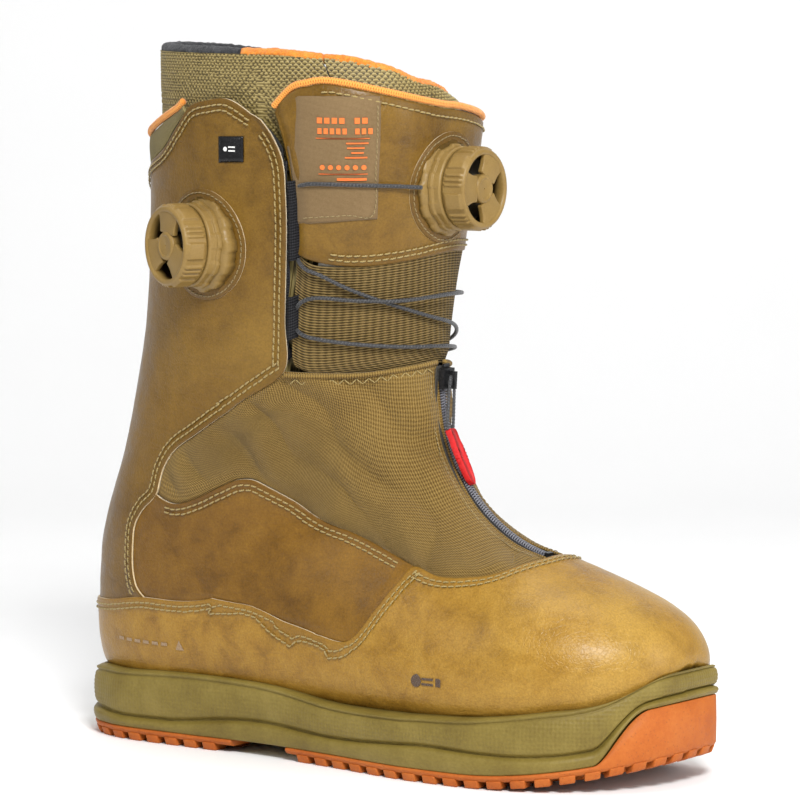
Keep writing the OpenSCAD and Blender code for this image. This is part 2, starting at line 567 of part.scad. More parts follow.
module dial_frame(place, axis) {
    p = skin(place[0], place[1]) + saddle_rise * axis;
    translate(p) rotate([0, acos(axis[2]), atan2(axis[1], axis[0])]) children();
}
module dial_saddle(place, axis) {
    p = skin(place[0], place[1]);
    e1 = unit(cross([0, 0, 1], axis));
    e2 = cross(axis, e1);
    rim = function(i, r, h) p + h * axis + r * (cos(i * 15) * e1 + sin(i * 15) * e2);
    foot = function(i, r) let(q = under(rim(i, r, 0), axis, place[0], place[1])) skin(q[0], q[1], 0.25);
    ring = [for (i = [0:23]) i];
    rings = [
        [for (i = ring) foot(i, saddle_r * 0.5)],
        [for (i = ring) foot(i, saddle_r)],
        [for (i = ring) rim(i, saddle_r - 0.8, saddle_rise - 0.8)],
        [for (i = ring) rim(i, saddle_r - 1.4, saddle_rise - 0.05)]];
    color(olive) stack(rings, skin(place[0], place[1], 0.25), p + (saddle_rise - 0.05) * axis);
}
module dial_base() {
    color(tan) difference() {
        cylinder(h = base_h, r = base_r, $fn = 64);
        translate([0, 0, 1.5]) cylinder(h = base_h, r = cup_r, $fn = 64);
        translate([0, 0, -1]) cylinder(h = 4, d = screw_d + 0.04, $fn = 32);
    }
}
module dial_screw() {
    color(grey) {
        translate([0, 0, 0.1]) cylinder(h = 14, d = screw_d, $fn = 32);
        translate([0, 0, 14.1]) cylinder(h = 1.4, d = 9, $fn = 32);
    }
}
module dial_spool() {
    bore = screw_d / 2 + 0.05;
    color(black) rotate_extrude($fn = 64)
        polygon([[bore, 1.8], [14.4, 1.8], [14.4, 2.4], [12.4, 2.8], [12.4, 4.2], [14.4, 4.6],
            [14.4, 5.2], [bore, 5.2]]);
}
module dial_drive() {
    teeth = 30;
    color(grey) difference() {
        union() {
            translate([0, 0, 5.4]) linear_extrude(height = 2.2)
                polygon([for (i = [0:teeth - 1]) for (k = [0, 1])
                    let(r = k == 0 ? 15.1 : 14.2, t = 360 * (i + k * 0.2) / teeth) [r * cos(t), r * sin(t)]]);
            translate([0, 0, 7.5]) cylinder(h = 6.4, r = boss_r, $fn = 48);
        }
        translate([0, 0, 5]) cylinder(h = 10, d = screw_d + 0.1, $fn = 32);
    }
}
module dial_knob() {
    low = base_h + 0.4;
    top = low + knob_h;
    color(tan) difference() {
        translate([0, 0, low]) linear_extrude(height = knob_h)
            polygon([for (i = [0:knob_grips - 1]) for (k = [[0, 0], [0.46, 0], [0.54, 1], [0.92, 1]])
                let(r = knob_d / 2 - 1.2 * k[1], t = 360 * (i + k[0]) / knob_grips) [r * cos(t), r * sin(t)]]);
        translate([0, 0, low - 1]) cylinder(h = 7, r = 15.6, $fn = 64);
        translate([0, 0, low]) cylinder(h = knob_h - 1.3, r = boss_r + 0.05, $fn = 48);
        for (i = [0:2]) rotate(i * 120) translate([10.6, 0, top - 2]) cylinder(h = 3, r = 3.2, $fn = 32);
    }
}
module front_dial_saddle() { dial_saddle(front_place, front_axis); }
module front_dial_base() { dial_frame(front_place, front_axis) dial_base(); }
module front_dial_screw() { dial_frame(front_place, front_axis) dial_screw(); }
module front_dial_spool() { dial_frame(front_place, front_axis) dial_spool(); }
module front_dial_drive() { dial_frame(front_place, front_axis) dial_drive(); }
module front_dial_knob() { dial_frame(front_place, front_axis) dial_knob(); }
module side_dial_saddle() { dial_saddle(side_place, side_axis); }
module side_dial_base() { dial_frame(side_place, side_axis) dial_base(); }
module side_dial_screw() { dial_frame(side_place, side_axis) dial_screw(); }
module side_dial_spool() { dial_frame(side_place, side_axis) dial_spool(); }
module side_dial_drive() { dial_frame(side_place, side_axis) dial_drive(); }
module side_dial_knob() { dial_frame(side_place, side_axis) dial_knob(); }

// ---- liner ----

module liner_foot() {
    half = [8, 26, 46, 66, 86, 104, 120, 134, 146, 158, 172];
    g = grid(concat([1.7], steps(2.6, 9.1, 8), steps(9.4, ankle_v, 5)),
        concat(half, [for (i = [10:-1:0]) 360 - half[i]]));
    color(fabric) sheet(g, liner_out, liner_in, wrap = true, tip = true);
}
module liner_cuff() {
    g = grid(concat([ankle_v + 0.03], steps(11.4, liner_top, 7)), steps(60, 300, 16));
    color(fabric) sheet(g, liner_out, liner_in);
}
module liner_tongue() {
    color(fabric) sheet(grid(concat([11.02], steps(11.5, liner_top, 6)), steps(-56, 56, 8)), liner_out, liner_in);
}
module footbed() { color(grey) sheet(grid(steps(3, 8.4, 12), steps(154, 206, 4)), bed_out, bed_in); }
module rim(from, to, n) {
    color(orange) cord([for (a = steps(from, to, n)) skin(v_end, a, (liner_out + liner_in) / 2)
        + [0, 0, 0.3 + rim_d / 2 - 3.4]], rim_d / 2 - 0.6, 8, from_shaft);
}
module liner_rim_front() { rim(-54, 54, 14); }
module liner_rim_lateral() { rim(60, 94, 5); }
module liner_rim_medial() { rim(-60, -94, 5); }
module liner_rim_back() { color(black) rim(96, 264, 20); }

// ---- zip ----

// Half of the zip: a tape and its coil, swept round the zip's arc beside the centre line.
module zip_tape(side) {
    color(grey) translate(zip_centre) rotate([90, 0, 0]) rotate([0, 0, zip_top])
        mirror([0, 0, side > 0 ? 0 : 1]) rotate_extrude(angle = zip_bottom - zip_top, $fn = 120)
            polygon([[zip_r + 1, 0.25], [zip_r - 0.5, 0.25], [zip_r - 0.5, 1.3], [zip_r + 0.2, 1.3],
                [zip_r + 0.2, 3.3], [zip_r + 1, 3.3]]);
}
module zip_tape_lateral() { zip_tape(1); }
module zip_tape_medial() { zip_tape(-1); }
// Stands its children on the zip arc at an angle, +X towards the arc's centre and +Z along it upwards.
module on_arc(angle) {
    translate(zip_centre) rotate([0, 180 - angle, 0]) translate([-zip_r, 0, 0]) children();
}
module zip_stops() {
    color(grey) {
        on_arc(zip_top + 0.8) translate([0.55, -2.2, -0.8]) cube([0.9, 4.4, 1.6]);
        on_arc(zip_bottom - 0.8) translate([0.55, -2.2, -0.8]) cube([1.2, 4.4, 1.6]);
    }
}
module zip_slider() {
    low = zip_r - slider_low;
    color(grey) on_arc(zip_closed) {
        translate([low, -slider_w / 2, -slider_l / 2]) cube([slider_t, slider_w, slider_l]);
        for (z = [-slider_l / 2 + 0.4, slider_l / 2 - 2.6])
            translate([low + slider_t - 0.1, -0.8, z]) cube([3.2, 1.6, 1.6]);
        translate([low + slider_t + 2.4, -0.8, -slider_l / 2 + 0.4]) cube([1.2, 1.6, slider_l - 1.4]);
    }
}
// Frame of the pull: origin at the eye, -Z down the boot towards the tab.
module pull_frame() {
    on_arc(zip_closed) translate([zip_r - eye_r, 0, 0]) rotate([0, -pull_lean, 0]) children();
}
module zip_pull_cord() {
    reach = pull_l * cord_share;
    loop = [for (t = steps(0, 1, 26)) let(u = 180 * t)
        [0, -2.2 * spow(cos(u), 0.4), 0.9 * sin(u) - reach * (1 - sin(u))]];
    color(black) pull_frame() cord(loop, 0.7, 8, function(p) [1, 0, 0]);
}
module zip_pull_tab() {
    top = -pull_l * cord_share;
    color(red) pull_frame() translate([-tab_t / 2, 0, 0]) rotate([90, 0, 90])
        linear_extrude(height = tab_t)
            polygon([[-tab_w / 2 + 1, top - 0.3], [tab_w / 2 - 1, top - 0.3], [tab_w / 2 - 1, top - 6],
                [tab_w / 2, top - 9], [tab_w / 2, top - 15], [tab_w / 2 - 1.6, -pull_l + 2],
                [0, -pull_l], [-tab_w / 2 + 1.6, -pull_l + 2], [-tab_w / 2, top - 15],
                [-tab_w / 2, top - 9], [-tab_w / 2 + 1, top - 6]]);
}

outsole_forefoot();
outsole_heel();
midsole();
heel_cushion();
shank();
lasting_board();
toe_rand();
quarter_lateral();
quarter_medial();
gaiter_lateral();
gaiter_medial();
shaft_lateral();
shaft_medial();
backstay();
collar_panel();
collar_piping();
facing_lateral();
facing_medial();
cuff_badge();
zip_tape_lateral();
zip_tape_medial();
zip_stops();
zip_slider();
zip_pull_cord();
zip_pull_tab();
foot_lining();
shaft_lining();
heel_counter();
toe_puff();
tongue_leather();
tongue_patch();
tongue_piping();
tongue_elastic();
tongue_foam();
front_dial_saddle();
front_dial_base();
front_dial_screw();
front_dial_spool();
front_dial_drive();
front_dial_knob();
side_dial_saddle();
side_dial_base();
side_dial_screw();
side_dial_spool();
side_dial_drive();
side_dial_knob();
upper_lace();
harness_lateral();
harness_medial();
harness_lace();
liner_foot();
liner_cuff();
liner_tongue();
footbed();
liner_rim_front();
liner_rim_lateral();
liner_rim_medial();
liner_rim_back();
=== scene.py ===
import math

import bpy
import numpy as np
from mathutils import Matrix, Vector, noise


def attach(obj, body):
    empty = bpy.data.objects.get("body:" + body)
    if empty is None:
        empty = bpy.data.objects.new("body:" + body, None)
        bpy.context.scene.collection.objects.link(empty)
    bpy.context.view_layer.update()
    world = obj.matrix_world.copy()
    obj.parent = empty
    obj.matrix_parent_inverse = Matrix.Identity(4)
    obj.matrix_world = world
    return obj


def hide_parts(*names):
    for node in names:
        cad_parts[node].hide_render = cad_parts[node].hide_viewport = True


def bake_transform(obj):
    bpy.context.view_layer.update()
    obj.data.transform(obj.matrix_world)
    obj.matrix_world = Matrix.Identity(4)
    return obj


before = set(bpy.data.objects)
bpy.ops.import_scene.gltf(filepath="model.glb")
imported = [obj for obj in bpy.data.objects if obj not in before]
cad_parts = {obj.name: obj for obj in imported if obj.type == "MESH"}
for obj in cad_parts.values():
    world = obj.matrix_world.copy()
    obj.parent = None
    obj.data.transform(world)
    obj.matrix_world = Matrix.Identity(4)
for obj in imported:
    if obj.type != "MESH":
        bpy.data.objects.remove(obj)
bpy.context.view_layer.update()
MM = 0.001
rng = np.random.default_rng(7)
SIZE = 1.3  # size of the faces on the skin, in millimetres

# ---------------------------------------------------------------- camera, light and floor

LOOK = Vector((0, 0, 0.150))
AZIMUTH, ELEVATION, DISTANCE = math.radians(35), math.radians(5.3), 2.0
cam_data = bpy.data.cameras.new("camera")
cam = bpy.data.objects.new("camera", cam_data)
bpy.context.scene.collection.objects.link(cam)
back = Vector((math.sin(AZIMUTH) * math.cos(ELEVATION), -math.cos(AZIMUTH) * math.cos(ELEVATION),
               math.sin(ELEVATION)))
cam.location = LOOK + back * DISTANCE
cam.rotation_euler = (-back).to_track_quat("-Z", "Y").to_euler()
cam_data.sensor_width = 36
cam_data.lens = 208.8
cam_data.shift_x, cam_data.shift_y = 0.006, 0.011
bpy.context.scene.camera = cam


def area_light(name, place, target, size, power):
    data = bpy.data.lights.new(name, "AREA")
    data.shape, data.size, data.size_y = "RECTANGLE", size[0], size[1]
    data.energy = power
    lamp = bpy.data.objects.new(name, data)
    bpy.context.scene.collection.objects.link(lamp)
    lamp.location = place
    lamp.rotation_euler = (Vector(place) - Vector(target)).to_track_quat("Z", "Y").to_euler()


area_light("key", (0.95, -0.95, 1.15), (0, 0, 0.15), (0.4, 0.4), 30)
area_light("side_fill", (1.5, 0.35, 0.55), (0, 0, 0.14), (0.4, 0.8), 7)
area_light("left_fill", (-0.9, -1.3, 0.9), (0, 0, 0.2), (0.3, 0.8), 4)
area_light("top", (-0.15, 0.1, 1.5), (0, 0, 0.2), (0.8, 0.8), 7)
world = bpy.data.worlds.new("studio")
bpy.context.scene.world = world
world.use_nodes = True
world.node_tree.nodes["Background"].inputs["Color"].default_value = (1.0, 1.0, 1.0, 1)
world.node_tree.nodes["Background"].inputs["Strength"].default_value = 0.34
bpy.context.scene.view_settings.view_transform = "Standard"

# ---------------------------------------------------------------- materials


def node_maker(tree):
    """Returns add(kind, {input: value or socket}, **settings), which adds a shader node."""
    def add(kind, links=None, **settings):
        node = tree.nodes.new("ShaderNode" + kind)
        for key, value in settings.items():
            setattr(node, key, value)
        for key, value in (links or {}).items():
            socket = node.inputs[key]
            if isinstance(value, bpy.types.NodeSocket):
                tree.links.new(value, socket)
            elif isinstance(value, tuple) and len(value) == 3 and socket.type == "RGBA":
                socket.default_value = (*value, 1)
            else:
                socket.default_value = value
        return node
    return add


def ramp(add, source, stops):
    node = add("ValToRGB", {"Fac": source})
    elements = node.color_ramp.elements
    while len(elements) < len(stops):
        elements.new(0.5)
    for element, (at, colour) in zip(elements, stops):
        element.position = at
        element.color = (*colour, 1)
    return node.outputs["Color"]


def mixed(add, share, one, two, blend="MIX"):
    node = add("Mix", data_type="RGBA", blend_type=blend)
    tree = node.id_data
    for index, value in ((0, share), (6, one), (7, two)):
        if isinstance(value, bpy.types.NodeSocket):
            tree.links.new(value, node.inputs[index])
        elif index == 0:
            node.inputs[0].default_value = value
        else:
            node.inputs[index].default_value = (*value, 1)
    return node.outputs[2]


def maths(add, operation, one, two=0.0, three=0.0, clamp=False):
    node = add("Math", {0: one, 1: two, 2: three}, operation=operation, use_clamp=clamp)
    return node.outputs[0]


def start(name, roughness=0.6, **constants):
    """A new material with its Principled shader; constants go straight on the shader's sockets."""
    material = bpy.data.materials.new(name)
    material.use_nodes = True
    tree = material.node_tree
    tree.nodes.clear()
    add = node_maker(tree)
    shader = add("BsdfPrincipled",
                 {"Roughness": roughness, **{k.replace("_", " "): v for k, v in constants.items()}})
    output = add("OutputMaterial", {"Surface": shader.outputs[0]})
    return material, add, shader, output


def connect(material, shader, colour=None, roughness=None, height=None, distance=0.0003, strength=1.0,
            add=None):
    tree = material.node_tree
    if colour is not None:
        tree.links.new(colour, shader.inputs["Base Color"])
    if roughness is not None:
        tree.links.new(roughness, shader.inputs["Roughness"])
    if height is not None:
        bump = add("Bump", {"Strength": strength, "Distance": distance, "Height": height})
        tree.links.new(bump.outputs[0], shader.inputs["Normal"])
    return material


def place(add, kind="Object", scale=None):
    """Texture coordinates: object metres, or the UV map, which holds millimetres on the surface."""
    source = add("TexCoord").outputs[kind]
    if scale is None:
        return source
    return add("Mapping", {"Vector": source, "Scale": scale}).outputs[0]


def noise_of(add, vector, scale, detail=4.0, rough=0.55, distortion=0.0):
    return add("TexNoise", {"Vector": vector, "Scale": scale, "Detail": detail, "Roughness": rough,
                            "Distortion": distortion}).outputs["Fac"]


def spread(add, value, low, high, to_low=0.0, to_high=1.0):
    return add("MapRange", {"Value": value, "From Min": low, "From Max": high, "To Min": to_low,
                            "To Max": to_high}).outputs[0]


def attribute(add, name):
    return add("Attribute", attribute_name=name).outputs["Fac"]


def leather(name, dark, base, light, pull_highlight_tan, roughness=0.46):
    """Waxed pull-up leather: mottled, darker beside the seams, lighter tan where it is stretched and where a
    painted highlight lies, fine pores.
    """
    material, add, shader, _ = start(name, Coat_Weight=0.10, Coat_Roughness=0.26, Specular_IOR_Level=0.24)
    where = place(add)
    cloud = noise_of(add, where, 17, 3, 0.5, 0.6)
    mottle = noise_of(add, where, 95, 5, 0.65, 0.4)
    speck = noise_of(add, where, 1150, 3, 0.6)
    tone = maths(add, "MULTIPLY_ADD", cloud, 0.36, maths(add, "MULTIPLY", mottle, 0.64))
    colour = ramp(add, tone, [(0.30, dark), (0.50, base), (0.70, light)])
    # Lighter tan mixed in by a per-point share: stretched pull-up leather, partly painted highlight.
    colour = mixed(add, attribute(add, "pull_highlight_share"), colour, pull_highlight_tan)
    seam = spread(add, attribute(add, "edge_mm"), 0.0, 7.0, 1.0, 0.0)
    seam = maths(add, "MULTIPLY", seam, spread(add, mottle, 0.3, 0.7, 0.15, 0.55), clamp=True)
    colour = mixed(add, seam, colour, dark)
    grey = add("CombineColor", {0: spread(add, speck, 0.3, 0.7, 0.80, 1.12),
                                1: spread(add, speck, 0.3, 0.7, 0.80, 1.12),
                                2: spread(add, speck, 0.3, 0.7, 0.78, 1.12)}).outputs[0]
    colour = mixed(add, 1.0, colour, grey, "MULTIPLY")
    pores = add("TexVoronoi", {"Vector": where, "Scale": 1400.0, "Randomness": 1.0}).outputs["Distance"]
    creases = add("TexVoronoi", {"Vector": where, "Scale": 420.0, "Randomness": 1.0},
                  feature="DISTANCE_TO_EDGE").outputs["Distance"]
    fold = add("TexNoise", {"Vector": place(add, "Object", (60, 60, 190)), "Scale": 1.0, "Detail": 3.0,
                            "Distortion": 1.2}).outputs["Fac"]
    height = maths(add, "MULTIPLY_ADD", pores, 0.28,
                   maths(add, "MULTIPLY_ADD", spread(add, creases, 0, 0.12), 0.24,
                   maths(add, "MULTIPLY_ADD", mottle, 1.1, maths(add, "MULTIPLY", fold, 1.3))))
    rough = spread(add, maths(add, "ADD", mottle, maths(add, "MULTIPLY", speck, 0.3)), 0.4, 0.9,
                   roughness - 0.1, roughness + 0.12)
    return connect(material, shader, colour, rough, height, 0.00045, 0.55, add)


def raw_edge(name, pale, shadow):
    """Cut edge of leather: pale, fibrous."""
    material, add, shader, _ = start(name, 0.95, Sheen_Weight=0.4)
    where = place(add)
    fibres = noise_of(add, where, 900, 6, 0.75, 1.0)
    colour = ramp(add, fibres, [(0.25, shadow), (0.6, pale)])
    return connect(material, shader, colour, None, fibres, 0.0005, 1.0, add)


def rib_cloth(name, dark, base, light, across, along, roughness=0.85, depth=0.0004, cross_share=0.6,
              sheen=0.25):
    """Woven or knitted cloth with ribs; across and along are the spacings in millimetres on the UV map."""
    material, add, shader, _ = start(name, roughness, Sheen_Weight=0.4 * sheen, Sheen_Roughness=0.5,
                                     Specular_IOR_Level=0.15)
    uv = place(add, "UV")
    where = place(add)
    wobble = noise_of(add, where, 260, 3, 0.6)
    split = add("SeparateXYZ", {0: uv})
    wave_a = maths(add, "SINE", maths(add, "MULTIPLY_ADD", split.outputs[0], 2 * math.pi / across,
                                      maths(add, "MULTIPLY", wobble, 2.2)))
    wave_b = maths(add, "SINE", maths(add, "MULTIPLY_ADD", split.outputs[1], 2 * math.pi / along,
                                      maths(add, "MULTIPLY", wobble, 2.2)))
    weave = maths(add, "MULTIPLY_ADD", wave_a, 0.5, maths(add, "MULTIPLY", wave_b, cross_share * 0.5))
    weave = maths(add, "ADD", weave, 0.5)
    fuzz = noise_of(add, where, 1500, 3, 0.7)
    cloud = noise_of(add, where, 34, 4, 0.6)
    tone = maths(add, "MULTIPLY_ADD", weave, 0.34,
                 maths(add, "MULTIPLY_ADD", fuzz, 0.42, maths(add, "MULTIPLY", cloud, 0.30)))
    colour = ramp(add, tone, [(0.28, dark), (0.5, base), (0.74, light)])
    height = maths(add, "MULTIPLY_ADD", fuzz, 0.5, weave)
    return connect(material, shader, colour, None, height, depth, 0.8, add)


def twill_cord(name, dark, base, light, pitch, around=2, roughness=0.75, fleck=None):
    """Cord cover whose UV map holds millimetres along and turns around."""
    material, add, shader, _ = start(name, roughness, Sheen_Weight=0.2)
    uv = place(add, "UV")
    split = add("SeparateXYZ", {0: uv})
    one = maths(add, "SINE", maths(add, "MULTIPLY_ADD", split.outputs[0], 2 * math.pi / pitch,
                maths(add, "MULTIPLY", split.outputs[1], 2 * math.pi * around)))
    two = maths(add, "SINE", maths(add, "MULTIPLY_ADD", split.outputs[0], 2 * math.pi / pitch,
                maths(add, "MULTIPLY", split.outputs[1], -2 * math.pi * around)))
    braid = maths(add, "MULTIPLY_ADD", maths(add, "MAXIMUM", one, two), 0.5, 0.5)
    fuzz = noise_of(add, place(add), 1800, 3, 0.7)
    tone = maths(add, "MULTIPLY_ADD", braid, 0.6, maths(add, "MULTIPLY", fuzz, 0.4))
    colour = ramp(add, tone, [(0.25, dark), (0.55, base), (0.85, light)])
    if fleck:
        lit = spread(add, maths(add, "MULTIPLY", one, fuzz), 0.46, 0.6)
        colour = mixed(add, lit, colour, fleck)
    return connect(material, shader, colour, None, tone, 0.0003, 0.7, add)


def fleece(name, dark, base, light, scale=700):
    material, add, shader, _ = start(name, 0.95, Sheen_Weight=0.15, Sheen_Roughness=0.5)
    where = place(add)
    pile = noise_of(add, where, scale, 6, 0.75, 1.5)
    tuft = noise_of(add, where, scale / 5, 4, 0.6, 0.5)
    tone = maths(add, "MULTIPLY_ADD", pile, 0.6, maths(add, "MULTIPLY", tuft, 0.4))
    colour = ramp(add, tone, [(0.32, dark), (0.5, base), (0.68, light)])
    return connect(material, shader, colour, None, tone, 0.0012, 1.0, add)


def moulded(name, dark, base, light, roughness=0.45, grain=900, distance=0.00012, speckle=None,
            metallic=0.0):
    """Moulded rubber or nylon with a fine sparked grain, and optional speckles."""
    material, add, shader, _ = start(name, roughness, Specular_IOR_Level=0.3, Metallic=metallic)
    where = place(add)
    cloud = noise_of(add, where, 45, 4, 0.6)
    fine = noise_of(add, where, grain, 4, 0.7)
    tone = maths(add, "MULTIPLY_ADD", cloud, 0.6, maths(add, "MULTIPLY", fine, 0.4))
    colour = ramp(add, tone, [(0.30, dark), (0.5, base), (0.70, light)])
    if speckle:
        dots = add("TexVoronoi", {"Vector": where, "Scale": 520.0}).outputs["Distance"]
        colour = mixed(add, spread(add, dots, 0.10, 0.24, 0.85, 0.0), colour, speckle)
    rough = spread(add, fine, 0.3, 0.7, max(0.05, roughness - 0.08), roughness + 0.1)
    return connect(material, shader, colour, rough, fine, distance, 0.6, add)


def scale_mesh(name, dark, base, light):
    """Knitted mesh of small scales: dark between them, lit along their upper arcs."""
    material, add, shader, _ = start(name, 0.55)
    fuzz = noise_of(add, place(add), 1500, 3, 0.7)
    cloud = noise_of(add, place(add), 40, 3, 0.6)
    tone = maths(add, "MULTIPLY_ADD", attribute(add, "raised"), 0.75,
                 maths(add, "MULTIPLY_ADD", fuzz, 0.2, maths(add, "MULTIPLY", cloud, 0.12)))
    colour = ramp(add, tone, [(0.22, dark), (0.5, base), (0.85, light)])
    return connect(material, shader, colour, None, fuzz, 0.0002, 0.5, add)


M = {
    # Each leather: dark, base and light tones, then the lighter tan of stretched pull-up leather, also used as
    # painted highlight, then roughness.
    "rand": leather("rand_leather", (0.180, 0.086, 0.009), (0.306, 0.161, 0.020), (0.387, 0.220, 0.036),
                    (0.504, 0.319, 0.072), 0.36),
    "quarter": leather("quarter_leather", (0.088, 0.038, 0.003), (0.160, 0.074, 0.006),
                       (0.210, 0.103, 0.010), (0.277, 0.135, 0.011), 0.38),
    "shaft": leather("shaft_leather", (0.082, 0.039, 0.004), (0.153, 0.078, 0.008), (0.202, 0.108, 0.014),
                     (0.284, 0.165, 0.026), 0.38),
    "raw": raw_edge("raw_cut_edge", (0.78, 0.62, 0.36), (0.46, 0.33, 0.15)),
    "flesh": raw_edge("leather_back", (0.42, 0.32, 0.18), (0.25, 0.18, 0.09)),
    "gaiter": rib_cloth("gaiter_canvas", (0.101, 0.056, 0.011), (0.189, 0.115, 0.028),
                        (0.277, 0.179, 0.051), 1.1, 1.5, 0.82, 0.00045),
    "elastic": rib_cloth("ribbed_elastic", (0.060, 0.036, 0.009), (0.150, 0.096, 0.028),
                         (0.27, 0.185, 0.065), 3.4, 1.15, 0.8, 0.0007, 2.0, 0.1),
    "collar": rib_cloth("collar_cloth", (0.10, 0.075, 0.025), (0.185, 0.145, 0.052), (0.26, 0.21, 0.085),
                        0.7, 0.7, 0.8, 0.00025),
    "patch": rib_cloth("label_cloth", (0.115, 0.070, 0.027), (0.185, 0.118, 0.052), (0.24, 0.160, 0.078),
                       0.5, 0.5, 0.72, 0.00012),
    "print": rib_cloth("label_print", (0.42, 0.07, 0.015), (0.60, 0.115, 0.025), (0.72, 0.17, 0.04), 0.5,
                       0.5, 0.7, 0.0001),
    "thread": twill_cord("khaki_thread", (0.135, 0.089, 0.022), (0.261, 0.183, 0.053),
                         (0.378, 0.281, 0.098), 0.9, 1, 0.6),
    "thread_dark": twill_cord("brown_thread", (0.11, 0.075, 0.025), (0.22, 0.155, 0.055),
                              (0.32, 0.24, 0.10), 0.9, 1, 0.6),
    "piping": twill_cord("orange_twill", (0.414, 0.111, 0.007), (0.684, 0.230, 0.020),
                         (0.810, 0.357, 0.063), 1.1, 3, 0.75),
    "lace": twill_cord("black_braid", (0.006, 0.006, 0.007), (0.018, 0.018, 0.020), (0.035, 0.035, 0.038),
                       1.5, 2, 0.5, (0.12, 0.12, 0.12)),
    "webbing": rib_cloth("black_webbing", (0.004, 0.004, 0.005), (0.013, 0.013, 0.015),
                         (0.03, 0.03, 0.033), 1.2, 0.9, 0.8, 0.0004, sheen=0.02),
    "lining": rib_cloth("black_lining", (0.006, 0.006, 0.006), (0.018, 0.018, 0.018), (0.03, 0.03, 0.03),
                        0.8, 0.8, 0.9, 0.0002, sheen=0.02),
    "scale": scale_mesh("scale_mesh", (0.030, 0.020, 0.005), (0.170, 0.122, 0.032), (0.42, 0.33, 0.13)),
    "liner_inside": fleece("liner_inside", (0.008, 0.008, 0.009), (0.020, 0.020, 0.022),
                           (0.045, 0.045, 0.05)),
    "fleece": fleece("orange_fleece", (0.42, 0.095, 0.005), (0.76, 0.235, 0.018), (0.93, 0.40, 0.06)),
    "fleece_black": fleece("black_fleece", (0.006, 0.006, 0.007), (0.016, 0.017, 0.020),
                           (0.05, 0.05, 0.055)),
    "midsole": moulded("midsole_rubber", (0.125, 0.085, 0.014), (0.185, 0.134, 0.025),
                       (0.245, 0.182, 0.043), 0.5, 800, 0.0002),
    "tread": moulded("outsole_rubber", (0.336, 0.069, 0.006), (0.440, 0.109, 0.013), (0.504, 0.151, 0.026),
                     0.6, 600, 0.0003, (0.320, 0.084, 0.016)),
    "dial": moulded("dial_nylon", (0.172, 0.101, 0.024), (0.228, 0.142, 0.039), (0.280, 0.181, 0.057),
                    0.40, 1300, 0.00006),
    "dial_dark": moulded("dial_inner_nylon", (0.06, 0.05, 0.035), (0.10, 0.085, 0.06), (0.15, 0.13, 0.10),
                         0.4, 1300, 0.00005),
    "steel": moulded("plated_steel", (0.30, 0.30, 0.31), (0.46, 0.46, 0.47), (0.60, 0.60, 0.61), 0.3, 1500,
                     0.00003, metallic=1.0),
    "black_metal": moulded("black_plated", (0.012, 0.012, 0.013), (0.03, 0.03, 0.032), (0.06, 0.06, 0.065),
                           0.32, 1500, 0.00003, metallic=0.6),
    "board": moulded("fibre_board", (0.35, 0.26, 0.13), (0.48, 0.38, 0.22), (0.56, 0.46, 0.30), 0.85, 500,
                     0.0003),
    "stiffener": moulded("stiffener_sheet", (0.32, 0.31, 0.27), (0.42, 0.41, 0.37), (0.50, 0.49, 0.45),
                         0.6, 500, 0.0002),
    "foam": fleece("padding_foam", (0.30, 0.28, 0.23), (0.42, 0.39, 0.33), (0.50, 0.47, 0.41), 900),
    "coil": moulded("zip_coil", (0.10, 0.10, 0.115), (0.20, 0.20, 0.225), (0.34, 0.34, 0.37), 0.35, 900,
                    0.0001),
    "tape": rib_cloth("zip_tape", (0.012, 0.011, 0.009), (0.030, 0.027, 0.022), (0.065, 0.06, 0.05), 0.6,
                      0.6, 0.85, 0.0002),
    "tab": moulded("red_rubber", (0.42, 0.004, 0.006), (0.58, 0.010, 0.012), (0.70, 0.03, 0.03), 0.42, 700,
                   0.0001),
    "badge": moulded("badge_black", (0.004, 0.004, 0.004), (0.009, 0.009, 0.010), (0.02, 0.02, 0.022),
                     0.22, 900, 0.00003),
    "badge_mark": moulded("badge_white", (0.68, 0.68, 0.66), (0.82, 0.82, 0.80), (0.90, 0.90, 0.88), 0.35,
                          900, 0.00003),
    "burnt": raw_edge("burnt_mark", (0.075, 0.035, 0.010), (0.035, 0.014, 0.005)),
    "pressed": raw_edge("pressed_mark", (0.34, 0.215, 0.105), (0.20, 0.115, 0.05)),
}

# ---------------------------------------------------------------- the boot's skin, in millimetres

STATIONS = np.array([
    [147.0, 48, 147.0, 48, 8, 0, 0, .50, 2.0, 2.0],
    [144.5, 60, 144.5, 34, 8, 17, 15, .50, 2.0, 2.2],
    [137.0, 69, 137.0, 27, 7, 31, 27, .46, 2.1, 2.5],
    [124.0, 76, 124.0, 22, 6, 42, 37, .42, 2.2, 2.8],
    [106.0, 83, 106.0, 19, 4, 49.5, 44, .38, 2.2, 3.0],
    [86.0, 90.4, 84.0, 18, 2, 52.5, 47, .35, 2.1, 3.2],
    [65.0, 96.5, 52.0, 18, 1, 52, 46, .33, 1.9, 3.2],
    [48.0, 107.8, 12.0, 18, 0, 48, 43, .34, 1.8, 3.0],
    [36.2, 121.6, -45.0, 18, 0, 44, 41, .38, 1.75, 2.8],
    [28.6, 137, -140.0, 20, 0, 43, 41, .42, 1.75, 2.5],
    [25.0, 155, -153.0, 75, 0, 44, 43, .46, 1.8, 2.2],
    [23.5, 176, -137.0, 130, 0, 47, 45, .52, 1.9, 2.2],
    [24.0, 206, -125.0, 184, 0, 52, 49, .56, 2.1, 2.1],
    [27.0, 246, -121.0, 236, 0, 56, 54, .58, 2.5, 2.1],
    [29.0, 282, -122.0, 282, 0, 57, 56, .58, 2.7, 2.1],
    [23.0, 304, -123.0, 304, 0, 55, 50, .58, 2.2, 2.1]])
V_END = len(STATIONS) - 1
